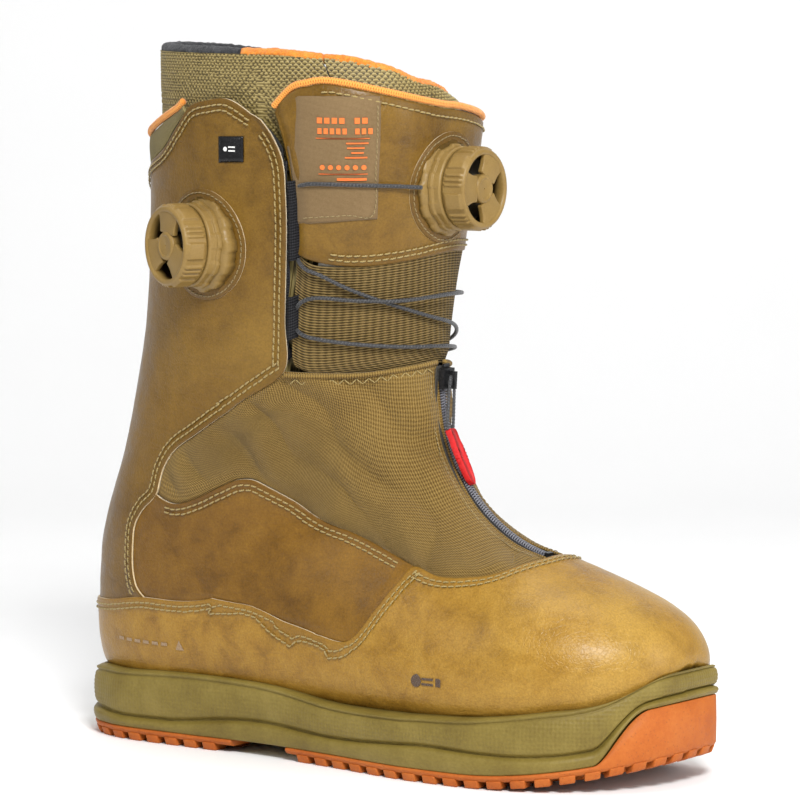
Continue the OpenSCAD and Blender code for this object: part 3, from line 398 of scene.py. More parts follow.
SOLE_ROWS = [
    [147.5, 0, 22], [144, -16, 30], [134, -34, 40], [122, -44, 46], [108, -51, 49.5],
    [90, -56, 51], [72, -58, 50], [52, -57.5, 47.5], [35, -56, 44], [0, -49, 38],
    [-40, -43, 37], [-80, -42, 39], [-118, -40, 39], [-134, -35, 34.5],
    [-143, -29, 29], [-150, -19, 19], [-154, -7, 7]]
RIM_LINE = [
    [0.45, 80], [1.2, 90], [2.3, 103], [3.1, 106], [3.9, 106], [4.75, 110], [5.45, 115],
    [6.05, 119], [6.5, 124], [7.35, 130], [8.05, 125], [8.55, 123], [8.92, 133],
    [9.08, 143], [9.17, 155], [9.2, 167], [9.22, 176]]
RAND_TOP_HEEL = [[9.75, 180], [9.7, 158], [9.6, 137], [9.38, 110]]
RAND_TOP_SIDE = [
    [9.38, 110], [9, 92], [8.68, 86], [8.48, 86], [8.2, 89], [7.86, 90],
    [7.56, 88], [7.43, 82], [7.35, 68], [7.28, 57], [7.2, 49.3]]
TOE_CAP_TOP = [[7.2, 49.3], [6.66, 47], [6.1, 40], [5.63, 31], [5.25, 13], [5.2, 0]]
QUARTER_TOP = [
    [10.25, 109], [10.16, 105], [10.05, 99], [10, 92], [10, 83], [9.98, 76],
    [9.81, 69], [9.3, 58], [8.63, 52.5], [7.98, 51.5], [7.2, 49.3]]
QUARTER_BACK = [[9.38, 110], [9.53, 114], [9.75, 117], [10.02, 118], [10.16, 114.5], [10.25, 109]]
SHAFT_DIAG = [[10.25, 109], [10.5, 109], [10.66, 106], [10.76, 98], [10.96, 85], [11.18, 70]]
SHAFT_FRONT = [[11.18, 70], [11.78, 72.5], [12.4, 75.3], [12.96, 78], [13.38, 80.7], [13.8, 88]]
SHAFT_TOP = [
    [13.8, 88], [14.05, 97], [14.03, 106], [13.95, 113], [13.7, 121],
    [13.48, 131], [13.35, 149], [13.2, 165], [13.12, 179.4]]
GAITER_TOP = [[10.83, 6], [10.82, 20], [10.88, 38], [11, 53], [11.15, 69.5]]
TONGUE_TOP = [
    [14.25, 71], [14.3, 60], [14.15, 36], [13.97, 9], [13.8, -18], [13.7, -40],
    [13.75, -60], [13.8, -71]]
COLLAR_TOP = [[13.95, 117], [13.84, 122], [13.67, 138], [13.55, 160], [13.5, 180]]
COLLAR_LOW = [[13.88, 116], [13.7, 122.5], [13.48, 133], [13.37, 149], [13.22, 165], [13.15, 180]]
TONGUE_SEAM = [[12.42, 64], [12.3, 56], [12.25, 39], [12.27, 19], [12.33, -5], [12.33, -25],
               [12.35, -45], [12.42, -64]]
TONGUE_FOOT = [[11.22, 59], [11.07, 53], [10.95, 38], [10.89, 20], [10.9, 0],
               [10.89, -20], [10.95, -38], [11.07, -53], [11.22, -59]]
# Cord of the front dial: along, angle and height over the skin.
UPPER_ROUTE = [
    [13.04, 17, 4.5], [13.06, 28, 2.2], [13.09, 45, 2.1], [13.12, 62, 2.2], [13.12, 70, 1.6],
    [13.05, 74.5, -2.6], [12.7, 73.4, -3], [12.42, 72, -2.8], [12.3, 67, 1.4], [12.22, 60, 2.3],
    [12, 45, 2], [11.75, 26, 2], [11.55, 8, 2], [11.42, -12, 2], [11.3, -32, 2], [11.25, -50, 2.2],
    [11.25, -60, 2.2], [11.28, -64.5, 0.4], [11.55, -68, -2.9], [11.84, -68.5, -2.6],
    [11.93, -63, 1.8], [11.9, -48, 2.2], [11.86, -28, 2.1], [11.85, -5, 3.9], [11.84, 24, 4.2],
    [11.9, 44, 2.8], [11.98, 59, 2.2], [11.96, 66, 1.2], [11.84, 69.5, -2.8], [11.68, 69, -2.8],
    [11.58, 64.5, 0.8], [11.48, 56, 2.2], [11.28, 36, 2], [11.14, 16, 2], [11.08, -10, 2],
    [11.12, -40, 2.1], [11.2, -57, 2.2], [11.25, -63.5, 0.8], [11.45, -69.3, -3], [11.9, -71.5, -3.1],
    [12.5, -74, -3.1], [12.95, -74.5, -2.6], [13.08, -70, 1.4], [13.06, -62, 2.3], [13.05, -45, 2],
    [13.04, -28, 2.2], [13.04, -17, 4.5]]
HARNESS_ROUTE = [[12.45, 105, -5.1], [12.2, 98, -5.1], [11.95, 92, -5.1], [11.74, 88, -5.1]]
TREAD, TOE_SPRING, BUMPER, FLOOR = 6.0, 11.0, 19.0, 13.5
SKIN_T = 1.3


def through(rows, x):
    """Smooth curve through rows, at x counted in rows."""
    rows = np.asarray(rows, float)
    last = len(rows) - 1
    x = np.clip(np.asarray(x, float), 0, last - 1e-6)
    i = np.floor(x).astype(int)
    t = (x - i)[..., None]
    a, b, c, d = (rows[np.clip(i + k, 0, last)] for k in (-1, 0, 1, 2))
    return b + 0.5 * t * ((c - a) + t * ((2 * a - 5 * b + 4 * c - d) + t * (3 * (b - c) + d - a)))


def along(rows, t):
    return through(rows, np.asarray(t, float) * (len(rows) - 1))


def ease(x):
    t = np.clip(x, 0, 1)
    return t * t * (3 - 2 * t)


def unit(p):
    return p / np.maximum(np.linalg.norm(p, axis=-1, keepdims=True), 1e-9)


def spow(c, e):
    return np.sign(c) * np.abs(c) ** e


def skin0(v, a):
    v, a = np.broadcast_arrays(np.asarray(v, float), np.asarray(a, float))
    s = through(STATIONS, v)
    zero = np.zeros_like(v)
    front = np.stack([s[..., 0], zero, s[..., 1]], -1)
    rear = np.stack([s[..., 2], zero, s[..., 3]], -1)
    length = np.linalg.norm(front - rear, axis=-1)
    e = (front - rear) / np.maximum(length, 1e-6)[..., None]
    r = np.radians(a)
    ahead = np.cos(r) >= 0
    n = np.where(ahead, s[..., 8], s[..., 9])
    h = np.where(ahead, length * (1 - s[..., 7]), length * s[..., 7])
    w = np.maximum(0, np.where(np.sin(r) >= 0, s[..., 5], s[..., 6]))
    p = rear + (front - rear) * s[..., 7:8] + e * (spow(np.cos(r), 2 / n) * h)[..., None]
    p[..., 1] += s[..., 4] - spow(np.sin(r), 2 / n) * w
    return p


def skin_normal(v, a):
    v, a = np.broadcast_arrays(np.asarray(v, float), np.asarray(a, float))
    dv = skin0(np.minimum(v + 0.02, V_END), a) - skin0(np.maximum(v - 0.02, 0.05), a)
    return unit(np.cross(dv, skin0(v, a + 1.5) - skin0(v, a - 1.5)))


def skin(v, a, height=0.0):
    return skin0(v, a) + np.asarray(height, float)[..., None] * skin_normal(v, a)


def coons(low, top, left, right, s, t):
    """Places in a four-sided region between seams, for arrays s (left to right) and t (low to top)."""
    low, top, left, right = (np.asarray(x, float) for x in (low, top, left, right))
    S, T = np.meshgrid(s, t, indexing="ij")
    S, T = S[..., None], T[..., None]
    return ((1 - T) * along(low, S[..., 0]) + T * along(top, S[..., 0])
            + (1 - S) * along(left, T[..., 0]) + S * along(right, T[..., 0])
            - (1 - S) * (1 - T) * low[0] - S * T * top[-1] - S * (1 - T) * low[-1] - (1 - S) * T * top[0])


def shifted(line, mm):
    """The line moved sideways on the skin by mm, to the left of its direction seen from outside."""
    line = np.asarray(line, float)[:, :2]
    v, a = line[:, 0], line[:, 1]
    p, normal = skin0(v, a), skin_normal(v, a)
    tangent = unit(np.gradient(p, axis=0))
    step = np.cross(normal, tangent) * np.asarray(mm, float).reshape(-1, 1)
    pv = (skin0(v + 0.01, a) - skin0(v - 0.01, a)) / 0.02
    pa = (skin0(v, a + 0.5) - skin0(v, a - 0.5))
    g = np.stack([np.stack([(pv * pv).sum(-1), (pv * pa).sum(-1)], -1),
                  np.stack([(pv * pa).sum(-1), (pa * pa).sum(-1)], -1)], -2)
    rhs = np.stack([(pv * step).sum(-1), (pa * step).sum(-1)], -1)
    return line + np.linalg.solve(g, rhs[..., None])[..., 0]


def dense(line, n=120):
    """The line with n points at even steps on the skin."""
    q = along(line, np.linspace(0, 1, 6 * n))
    p = skin0(q[:, 0], q[:, 1])
    s = np.concatenate([[0], np.cumsum(np.linalg.norm(np.diff(p, axis=0), axis=1))])
    want = np.linspace(0, s[-1], n)
    return np.stack([np.interp(want, s, q[:, 0]), np.interp(want, s, q[:, 1])], -1)


def ground(p, size, seed=0.0):
    """Smooth noise at points in millimetres, from -1 to 1, with features about size millimetres across."""
    flat = np.asarray(p, float).reshape(-1, 3) / size + seed
    return np.array([noise.noise(q) for q in flat.tolist()]).reshape(np.shape(p)[:-1])


# ---------------------------------------------------------------- meshes

def build(name, points, faces, body, materials, index=None, uv=None, facts=None, slot=None, hides=(),
          smooth=True):
    """A piece from points in millimetres and faces. uv holds a pair for each face corner."""
    mesh = bpy.data.meshes.new(name)
    faces = [f for group in faces for f in (group.tolist() if isinstance(group, np.ndarray) else group)]
    mesh.from_pydata((np.asarray(points, float).reshape(-1, 3) * MM).tolist(), [], faces)
    for m in (materials if isinstance(materials, (list, tuple)) else [materials]):
        mesh.materials.append(M[m])
    if index is not None:
        mesh.polygons.foreach_set("material_index", np.asarray(index, np.int32))
    if uv is not None:
        layer = mesh.uv_layers.new(name="UVMap")
        layer.data.foreach_set("uv", np.asarray(uv, np.float32).ravel())
    for key, value in (facts or {}).items():
        attr = mesh.attributes.new(key, "FLOAT", "POINT")
        attr.data.foreach_set("value", np.asarray(value, np.float32).ravel())
    mesh.polygons.foreach_set("use_smooth", np.full(len(mesh.polygons), smooth))
    mesh.update()
    piece = bpy.data.objects.new(name, mesh)
    bpy.context.scene.collection.objects.link(piece)
    if body:
        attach(piece, body)
    if hides:
        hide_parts(*hides)
    return piece


def quads(ni, nj, wrap=False, first=0):
    """Quads of a grid of points, and the same quads counted in a grid with one more column for the UV map."""
    i, j = (x.ravel() for x in np.meshgrid(np.arange(ni - 1), np.arange(nj if wrap else nj - 1),
                                           indexing="ij"))
    k = (j + 1) % nj
    w = nj + 1 if wrap else nj
    return (np.stack([i * nj + j, (i + 1) * nj + j, (i + 1) * nj + k, i * nj + k], 1) + first,
            np.stack([i * w + j, (i + 1) * w + j, (i + 1) * w + j + 1, i * w + j + 1], 1))


def lengths(p, axis):
    """Distance along the rows or columns of a grid of points, from its first one."""
    d = np.linalg.norm(np.diff(p, axis=axis), axis=-1)
    return np.concatenate([np.zeros_like(np.take(d, [0], axis)), np.cumsum(d, axis)], axis)


def shell(name, outer, inner, body, materials, wrap=False, facts=None, **more):
    """Closed sheet between two grids of points: outer faces, then the cut edge, then the inner faces."""
    ni, nj = outer.shape[:2]
    n = ni * nj
    q, c = quads(ni, nj, wrap)
    full = np.concatenate([outer, outer[:, :1]], 1) if wrap else outer
    du, dv = lengths(full, 0), lengths(full, 1)
    uv = np.stack([du, np.broadcast_to(dv.mean(0), du.shape)], -1)
    mid = q[len(q) // 2]
    flat = outer.reshape(-1, 3)
    face_normal = np.cross(flat[mid[2]] - flat[mid[0]], flat[mid[3]] - flat[mid[1]])
    turn = np.dot(face_normal, flat[mid[0]] - inner.reshape(-1, 3)[mid[0]]) < 0
    if turn:
        q, c = q[:, ::-1], c[:, ::-1]
    edges = {}
    for f in q.tolist():
        for x, y in zip(f, f[1:] + f[:1]):
            edges[(x, y)] = True
    rim = np.array([[y, x, x + n, y + n] for x, y in edges if (y, x) not in edges]).reshape(-1, 4)
    back_faces = q[:, ::-1] + n
    flat_uv = uv.reshape(-1, 2)
    corner_uv = np.concatenate([flat_uv[c].reshape(-1, 2), np.zeros((4 * len(rim), 2)),
                                flat_uv[c[:, ::-1]].reshape(-1, 2)])
    index = np.concatenate([np.zeros(len(q)), np.ones(len(rim)), np.full(len(q), 2)])
    both = {k: np.concatenate([np.ravel(v), np.ravel(v)]) for k, v in (facts or {}).items()}
    materials = list(materials) if isinstance(materials, (list, tuple)) else [materials] * 3
    return build(name, np.concatenate([outer.reshape(-1, 3), inner.reshape(-1, 3)]), [q, rim, back_faces],
                 body, materials, index, corner_uv, both, **more)


def border_distances(base):
    """Distance of each point of a grid from its low, top, left and right borders, measured along the grid."""
    across, down = lengths(base, 1), lengths(base, 0)
    return [across, across[:, -1:] - across, down, down[-1:] - down]


def panel(name, low, top, left, right, body, materials, size=2.0, lift=(0, 0, 0, 0), middle=0.0, band=9.0,
          visible=(1, 1, 1, 1), thick=SKIN_T, side=1, relief=None, pull_highlight_share=None, hides=(), slot=None):
    """A leather or cloth panel on the skin. lift and visible give, for the low, top, left and right borders,
    how high the sheet stands there and whether its cut edge shows. relief adds to the height; the colour
    function after it gives the share of lighter tan: stretched pull-up leather, partly painted highlight."""
    low, top, left, right = (np.asarray(x, float)[:, :2] for x in (low, top, left, right))

    def run(line):
        p = skin0(*along(line, np.linspace(0, 1, 60)).T)
        return np.linalg.norm(np.diff(p, axis=0), axis=1).sum()
    ns = max(8, int(max(run(low), run(top)) / size))
    nt = max(4, int(max(run(left), run(right)) / size))

    def spaced(n, full):
        t = np.linspace(0, 1, n + 1)
        e = 0.5 / max(full, 1)
        return np.concatenate([[0, e], t[1:-1], [1 - e, 1]])
    g = coons(low, top, left, right, spaced(ns, max(run(low), run(top))),
              spaced(nt, max(run(left), run(right))))
    v, a = g[..., 0], g[..., 1]
    base = skin0(v, a)
    gap = border_distances(base)
    h = np.full(v.shape, float(middle))
    for d, up in zip(gap, lift):
        h = h + (up - middle) * ease(1 - d / band)
    nearest = np.full(v.shape, 99.0)
    for d, seen in zip(gap, visible):
        if seen:
            nearest = np.minimum(nearest, d)
    if relief is not None:
        h = h + relief(base) * ease(np.minimum.reduce(gap) / 7)
    h = h - 0.32 * np.clip(1 - nearest / 0.5, 0, 1)
    h = h + np.where(nearest < 0.25, 0.10 * ground(base, 1.6), 0)
    a = a * side
    outer = skin(v, a, h)
    inner = skin(v, a, h - thick)
    # Share of lighter tan at each point: stretched pull-up leather, partly painted highlight.
    tone = np.zeros(v.shape) if pull_highlight_share is None else np.clip(pull_highlight_share(base), 0, 1)
    return shell(name, outer, inner, body, materials, facts={"edge_mm": nearest, "pull_highlight_share": tone},
                 hides=hides, slot=slot)


def lay_stitches(name, lines, body, material="thread", pitch=3.2, length=2.6, r=0.40, height=0.55, side=1,
                 slot=None, zigzag=None):
    """Rows of thread stitches on the skin, each a rounded bead that dips into the leather at its ends."""
    points, faces, uvs = [], [], []
    ring = np.arange(6) * math.pi / 3
    for line in lines:
        lifts = np.asarray(line, float)
        q = dense(lifts[:, :2], max(60, 6 * len(lifts)))
        p = skin0(q[:, 0], q[:, 1] * side)
        s = np.concatenate([[0], np.cumsum(np.linalg.norm(np.diff(p, axis=0), axis=1))])
        count = int(s[-1] / pitch)
        if count < 1:
            continue
        for k in range(count):
            middle = (k + 0.5) * s[-1] / count
            jitter = rng.normal(0, 0.07)
            half = length / 2 + rng.normal(0, 0.04)
            spots = []
            for u, up, w in ((-1, -0.25, 0.45), (-0.8, 0.14, 0.85), (-0.3, 0.30, 1.0), (0.3, 0.30, 1.0),
                             (0.8, 0.14, 0.85), (1, -0.25, 0.45)):
                at = np.clip(middle + u * half, 0, s[-1])
                spots.append((at, up, w, u))
            v = np.interp([x[0] for x in spots], s, q[:, 0])
            a = np.interp([x[0] for x in spots], s, q[:, 1]) * side
            base, normal = skin0(v, a), skin_normal(v, a)
            tangent = unit((base[-1] - base[0])[None])[0]
            across = unit(np.cross(normal, tangent))
            swing = np.array([x[3] for x in spots]) * (zigzag if zigzag
                                                       else 0.10) * (1 if k % 2 or not zigzag else -1)
            centre = base + normal * (height + np.array([x[1] for x in spots]) * r
                                      * 2)[:, None] + across * (swing + jitter)[:, None]
            direction = unit(np.gradient(centre, axis=0))
            across = unit(np.cross(normal, direction))
            up = np.cross(direction, across)
            w = np.array([x[2] for x in spots])[:, None, None] * r
            rings = centre[:, None] + w * (np.cos(ring)[None, :, None] * across[:, None]
                                           + np.sin(ring)[None, :, None] * up[:, None] * 0.8)
            first = len(points) * 36
            points.append(rings.reshape(-1, 3))
            f, c = quads(6, 6, True, first)
            faces.append(f)
            along_mm = (np.array([x[0] for x in spots]) - middle)[:, None] * np.ones((1, 7))
            turns = np.broadcast_to(np.arange(7) / 6, along_mm.shape)
            uvs.append(np.stack([along_mm, turns], -1).reshape(-1, 2)[c].reshape(-1, 2))
            faces.append(np.array([[first + i for i in range(5, -1, -1)]]))
            faces.append(np.array([[first + 30 + i for i in range(6)]]))
            uvs.append(np.zeros((12, 2)))
    if not points:
        return None
    order, uv_order = [], []
    for f, u in zip(faces[0::3], uvs[0::2]):
        order.append(f)
        uv_order.append(u)
    caps = [f for k, f in enumerate(faces) if k % 3]
    return build(name, np.concatenate(points), order + caps, body, material, None,
                 np.concatenate(uv_order + [np.zeros((6 * len(caps), 2))]), slot=slot)


def tube(name, path, r, body, material, sides=12, step=None, weave=0.0, weave_pitch=2.0, weave_around=2,
         outward=None, rough=0.0, rough_size=2.0, slot=None, hides=(), taper=None):
    """Round cord through a path of points in millimetres, its cover woven in relief."""
    path = np.asarray(path, float)
    if step:
        s = np.concatenate([[0], np.cumsum(np.linalg.norm(np.diff(path, axis=0), axis=1))])
        count = max(4, int(s[-1] / step))
        path = through(path, np.interp(np.linspace(0, s[-1], count + 1), s, np.arange(len(path))))
    s = np.concatenate([[0], np.cumsum(np.linalg.norm(np.diff(path, axis=0), axis=1))])
    tangent = unit(np.gradient(path, axis=0))
    if outward is None:
        n1 = np.zeros_like(path)
        n1[0] = unit(np.cross(tangent[0], [0.3, 0.5, 0.81])[None])[0]
        for i in range(1, len(path)):
            n1[i] = unit((n1[i - 1] - np.dot(n1[i - 1], tangent[i]) * tangent[i])[None])[0]
    else:
        o = outward(path)
        n1 = unit(o - (o * tangent).sum(-1, keepdims=True) * tangent)
    n2 = np.cross(tangent, n1)
    theta = np.arange(sides) / sides * 2 * math.pi
    one = np.sin(theta[None] * weave_around + 2 * math.pi * s[:, None] / weave_pitch)
    two = np.sin(-theta[None] * weave_around + 2 * math.pi * s[:, None] / weave_pitch)
    radius = r * (1 - weave + weave * np.maximum(one, two))
    if taper is not None:
        radius = radius * taper(s / s[-1])[:, None]
    points = path[:, None] + radius[..., None] * (np.cos(theta)[None, :, None] * n1[:, None]
                                                  + np.sin(theta)[None, :, None] * n2[:, None])
    if rough:
        points = points + unit(points - path[:, None]) * (rough * ground(points, rough_size))[..., None]
    f, c = quads(len(path), sides, True)
    turns = np.broadcast_to(np.arange(sides + 1) / sides, (len(path), sides + 1))
    uv = np.stack([np.broadcast_to(s[:, None], turns.shape), turns], -1).reshape(-1, 2)[c].reshape(-1, 2)
    uv = uv.reshape(-1, 4, 2)[:, ::-1].reshape(-1, 2)
    n = len(path) * sides
    points = np.concatenate([points.reshape(-1, 3), path[:1] - tangent[:1] * r * 0.3,
                             path[-1:] + tangent[-1:] * r * 0.3])
    k = np.arange(sides)
    k1 = (k + 1) % sides
    first_cap = np.stack([k1, k, np.full(sides, n)], 1)
    last_cap = np.stack([n - sides + k, n - sides + k1, np.full(sides, n + 1)], 1)
    faces = [f[:, ::-1], first_cap, last_cap]
    uv = np.concatenate([uv, np.zeros((6 * sides, 2))])
    piece = build(name, points, faces, body, material, None, uv, slot=slot, hides=hides)
    check_turn(piece)
    return piece


def check_turn(piece):
    """Turns a closed mesh's faces outwards if its volume comes out negative."""
    mesh = piece.data
    mesh.calc_loop_triangles()
    p = np.zeros(len(mesh.vertices) * 3, np.float32)
    t = np.zeros(len(mesh.loop_triangles) * 3, np.int32)
    mesh.vertices.foreach_get("co", p)
    mesh.loop_triangles.foreach_get("vertices", t)
    p, t = p.reshape(-1, 3), t.reshape(-1, 3)
    centre = p.mean(0)
    volume = (np.cross(p[t[:, 0]] - centre, p[t[:, 1]] - centre) * (p[t[:, 2]] - centre)).sum()
    if volume < 0:
        mesh.flip_normals()
        mesh.update()


def from_shaft(p):
    o = np.array(p, float)
    o[..., 0] += 48
    o[..., 2] = 0
    return unit(o)


def lace_path(route, n):
    q = along(route, np.linspace(0, 1, n))
    return skin(q[:, 0], q[:, 1], q[:, 2])

# ---------------------------------------------------------------- sole: functions


def spring_z(x):
    return TOE_SPRING * np.clip((x - 70) / 77, 0, 1.1) ** 2


def wrap_up(x):
    return BUMPER * ease((x - 127) / 15)


def closed(rows, n):
    """Closed smooth curve through rows, at n even parameter steps."""
    rows = np.asarray(rows, float)
    m = len(rows)
    wide = np.concatenate([rows[-3:], rows, rows[:4]])
    return through(wide, 3 + np.arange(n) / n * m)


def sole_loop(n):
    """The sole's outline and its outward direction, the rim line on the skin and its outward direction, and
    the distance along the outline with its whole length."""
    rows = [[x, yo] for x, yo, yi in SOLE_ROWS] + [[x, yi] for x, yo, yi in SOLE_ROWS[::-1]]
    places = [[v, a] for v, a in RIM_LINE] + [[v, -a] for v, a in RIM_LINE[::-1]]
    rim = [np.concatenate([skin0(v, a), skin_normal(v, a)]) for v, a in places]
    outline, rim = closed(rows, 8 * n), closed(rim, 8 * n)
    s = np.concatenate([[0], np.cumsum(np.linalg.norm(np.diff(np.concatenate([outline, outline[:1]]),
                                                              axis=0), axis=1))])
    want = np.arange(n) / n * s[-1]
    pick = np.interp(want, s, np.arange(len(s)))

    def at(curve):
        wide = np.concatenate([curve, curve[:1]])
        i = np.floor(pick).astype(int)
        f = (pick - i)[:, None]
        return wide[i] * (1 - f) + wide[np.minimum(i + 1, len(wide) - 1)] * f
    outline, rim = at(outline), at(rim)
    tangent = unit(np.roll(outline, -1, 0) - np.roll(outline, 1, 0))
    out = np.stack([-tangent[:, 1], tangent[:, 0]], -1)
    if (out * (outline - outline.mean(0))).sum() < 0:
        out = -out
    return outline, out, rim[:, :3], unit(rim[:, 3:]), want, s[-1]


def flat_ring(outline, out, inset, z):
    return np.concatenate([outline - out * np.reshape(inset, (-1, 1)),
                           np.reshape(z, (-1, 1)) * np.ones((len(outline), 1))], 1)


def ring_solid(name, rings, body, material, s=None, **more):
    """Closed solid through rings of points, with a fan at each end."""
    m, n = len(rings), len(rings[0])
    pts = np.concatenate(list(rings) + [rings[0].mean(0)[None], rings[-1].mean(0)[None]])
    f, c = quads(m, n, True)
    height = np.cumsum([0] + [np.linalg.norm(b - a, axis=1).mean() for a, b in zip(rings, rings[1:])])
    s = np.arange(n) * 1.0 if s is None else s
    step = s[1] - s[0]
    wide = np.concatenate([s, [s[-1] + step]])
    uv = np.stack([np.broadcast_to(wide, (m, n + 1)), np.broadcast_to(height[:, None], (m, n + 1))],
                  -1).reshape(-1, 2)[c].reshape(-1, 2)
    k = np.arange(n)
    k1 = (k + 1) % n
    caps = [np.stack([np.full(n, m * n), k1, k], 1),
            np.stack([np.full(n, m * n + 1), (m - 1) * n + k, (m - 1) * n + k1], 1)]
    uv = np.concatenate([uv, np.zeros((6 * n, 2))])
    piece = build(name, pts, [f] + caps, body, material, None, uv, **more)
    check_turn(piece)
    return piece


def make_midsole():
    n = 1700
    outline, out, rim, rim_out, s, _ = sole_loop(n)
    x = outline[:, 0]
    low = TREAD + spring_z(x)
    step = low + wrap_up(x)
    top = rim[:, 2] - 0.4
    lateral = outline[:, 1] < 0
    rings = [flat_ring(outline, out, 14, low), flat_ring(outline, out, 5.0, low),
             flat_ring(outline, out, 4.0, low + (step - low) * 0.6),
             flat_ring(outline, out, 3.8, step), flat_ring(outline, out, 1.4, step)]
    # The crease wanders along the side: low under the heel, dipping at the arch, rising to the toe.
    crease = 0.33 + 0.10 * np.sin((x + 40) / 46.0) * np.where(lateral, 1,
                                                              0.6) + 0.05 * np.sin((x - 30) / 17.0)
    crease = np.clip(crease, 0.2, 0.5)
    for q in np.linspace(0.0, 1.0, 56):
        band = q < crease
        inset = np.where(band, 0.5 - 1.1 * np.sin(np.clip(q / crease, 0, 1) * math.pi) ** 0.8
                         + 0.9 * ease((q - crease + 0.12) / 0.12),
                         0.9 - 1.1 * np.sin(np.clip((q - crease) / (0.93 - crease), 0, 1) * math.pi) ** 0.7)
        groove = np.exp(-((q - crease) / 0.035) ** 2)
        inset = inset + 1.5 * groove
        inset = inset + 0.9 * np.exp(-((q - 0.935) / 0.018) ** 2)
        z = step + (top - step) * q
        hatch_share = ease((q - crease - 0.06) / 0.05) * ease((0.90 - q) / 0.04)
        hatch = np.cos(math.pi * (s / 1.75 + z / 1.75)) * np.cos(math.pi * (s / 1.75 - z / 1.75))
        ribs = 0.5 + 0.5 * np.cos(2 * math.pi * (z - low) / 1.25)
        inset = inset - 0.15 * hatch * hatch_share + 0.10 * ribs * ease((crease - 0.05 - q) / 0.04)
        rings.append(flat_ring(outline, out, inset, z))
    lip = rings[-1]
    edge = rim + rim_out
    rings.append(np.concatenate([(lip[:, :2] * 0.45 + edge[:, :2] * 0.55), (top + 0.7)[:, None]], 1))
    rings.append(np.concatenate([edge[:, :2], (rim[:, 2] + 0.5)[:, None]], 1))
    rings.append(np.concatenate([(rim - rim_out * 0.5)[:, :2], (rim[:, 2] - 1.0)[:, None]], 1))
    rings.append(np.concatenate([(rim - rim_out * 1.4)[:, :2], (rim[:, 2] - 4)[:, None]], 1))
    rings.append(np.concatenate([rim[:, :2] * [0.97, 0.95], (FLOOR + 0.9 * spring_z(x))[:, None]], 1))
    rings.append(np.concatenate([rim[:, :2] * [0.6, 0.5], (FLOOR + 0.9 * spring_z(x))[:, None]], 1))
    ring_solid("midsole_moulding", rings, "boot", "midsole", s=s, slot="midsole_rubber", hides=("midsole",))


def outline_at(x, inset):
    """Outer and inner y of the sole's outline at x, moved in by inset."""
    rows = np.array(sorted(through(SOLE_ROWS, np.linspace(0, len(SOLE_ROWS) - 1, 200)).tolist()))
    half = (rows[-1, 0] - rows[0, 0]) / 2
    mid = (rows[-1, 0] + rows[0, 0]) / 2
    u = mid + (x - mid) * half / (half - inset)
    return np.interp(u, rows[:, 0], rows[:, 1]) + inset, np.interp(u, rows[:, 0], rows[:, 2]) - inset


def block(corners):
    """Points and quads of a six-sided block from its lower and upper four corners, counted the same way."""
    return np.asarray(corners, float), np.array([[3, 2, 1, 0], [4, 5, 6, 7], [0, 1, 5, 4], [1, 2, 6, 5],
                                                 [2, 3, 7, 6], [3, 0, 4, 7]])


def make_tread(name, x_front, x_back, node):
    """Lugs round the edge and in rows across the middle, on a web that climbs the toe as a bumper."""
    corners = []
    outline, out, _, _, s, total = sole_loop(760)
    count = int(total / 10.6)
    for k in range(count):
        ends = []
        for u in (k, k + 0.64):
            at = [np.interp(u * total / count, s, c) for c in (outline[:, 0], outline[:, 1], out[:, 0],
                                                               out[:, 1])]
            ends.append(at)
        if not all(x_back + 0.5 <= e[0] <= x_front for e in ends):
            continue
        deep = 10.5 if k % 2 else 8.5
        low = [[px - qx * 1.9, py - qy * 1.9, spring_z(px)] for px, py, qx, qy in ends]
        high = [[px - qx * 0.5, py - qy * 0.5, spring_z(px) + 3.6] for px, py, qx, qy in ends]
        for px, py, qx, qy in ends[::-1]:
            base = spring_z(px - qx * deep)
            low.append([px - qx * (deep - 0.8), py - qy * (deep - 0.8), base])
            high.append([px - qx * deep, py - qy * deep, base + 3.6])
        corners.append(low + high)
    for i in range(int((x_front - x_back) / 12.5)):
        xc = min(x_front, 147) - 12 - i * 12.5
        yo, yi = outline_at(xc, 14)
        if yi - yo < 9 or xc < max(x_back, -140) + 8:
            continue
        lanes = max(1, int((yi - yo) / 14))
        for j in range(lanes):
            y0, y1 = (yo + (yi - yo) * (j + k) / lanes + 1.3 * (1 - 2 * k) for k in (0, 1))
            lean = 2.2 if (i + j) % 2 else -2.2
            foot = [(xc + dx + sl, yy) for dx, yy,
                    sl in ((-3.6, y0, -lean), (3.6, y0, -lean), (3.6, y1, lean), (-3.6, y1, lean))]
            corners.append([[px, py, spring_z(px)] for px, py in foot]
                           + [[px, py, spring_z(px) + 3.4] for px, py in foot])
    blocks = [block(c) for c in corners]
    lugs = build(name + "_lugs", np.concatenate([p for p, f in blocks]),
                 [f + 8 * k for k, (p, f) in enumerate(blocks)],
                 "boot", "tread", slot="outsole_rubber")
    check_turn(lugs)
    bevel = lugs.modifiers.new("round", "BEVEL")
    bevel.width, bevel.segments, bevel.limit_method = 0.0006, 2, "ANGLE"
    cut = (outline[:, 0] >= x_back) & (outline[:, 0] <= x_front)
    run = np.arange(len(cut))
    if x_front > 100:
        gap = np.where(~cut)[0]
        run = np.roll(run, -gap[len(gap) // 2])
    run = run[cut[run]]
    rings = []
    for inset, up, climb in ((2.6, 2.9, 0), (1.0, 3.6, 0), (0.35, 4.6, 0), (0.2, 5.0, 0.5), (0.45, 5.5, 1),
                             (0.9, 5.9, 1), (2.4, 5.9, 1), (3.4, 5.85, 0)):
        moved = outline[run] - out[run] * inset
        rings.append(np.concatenate([moved,
                                     (spring_z(moved[:, 0]) + up + climb * wrap_up(moved[:, 0]))[:, None]],
                                    1))
    ring_solid(name + "_web", rings, "boot", "tread", slot="outsole_rubber", hides=(node,))



# ---------------------------------------------------------------- places on the skin


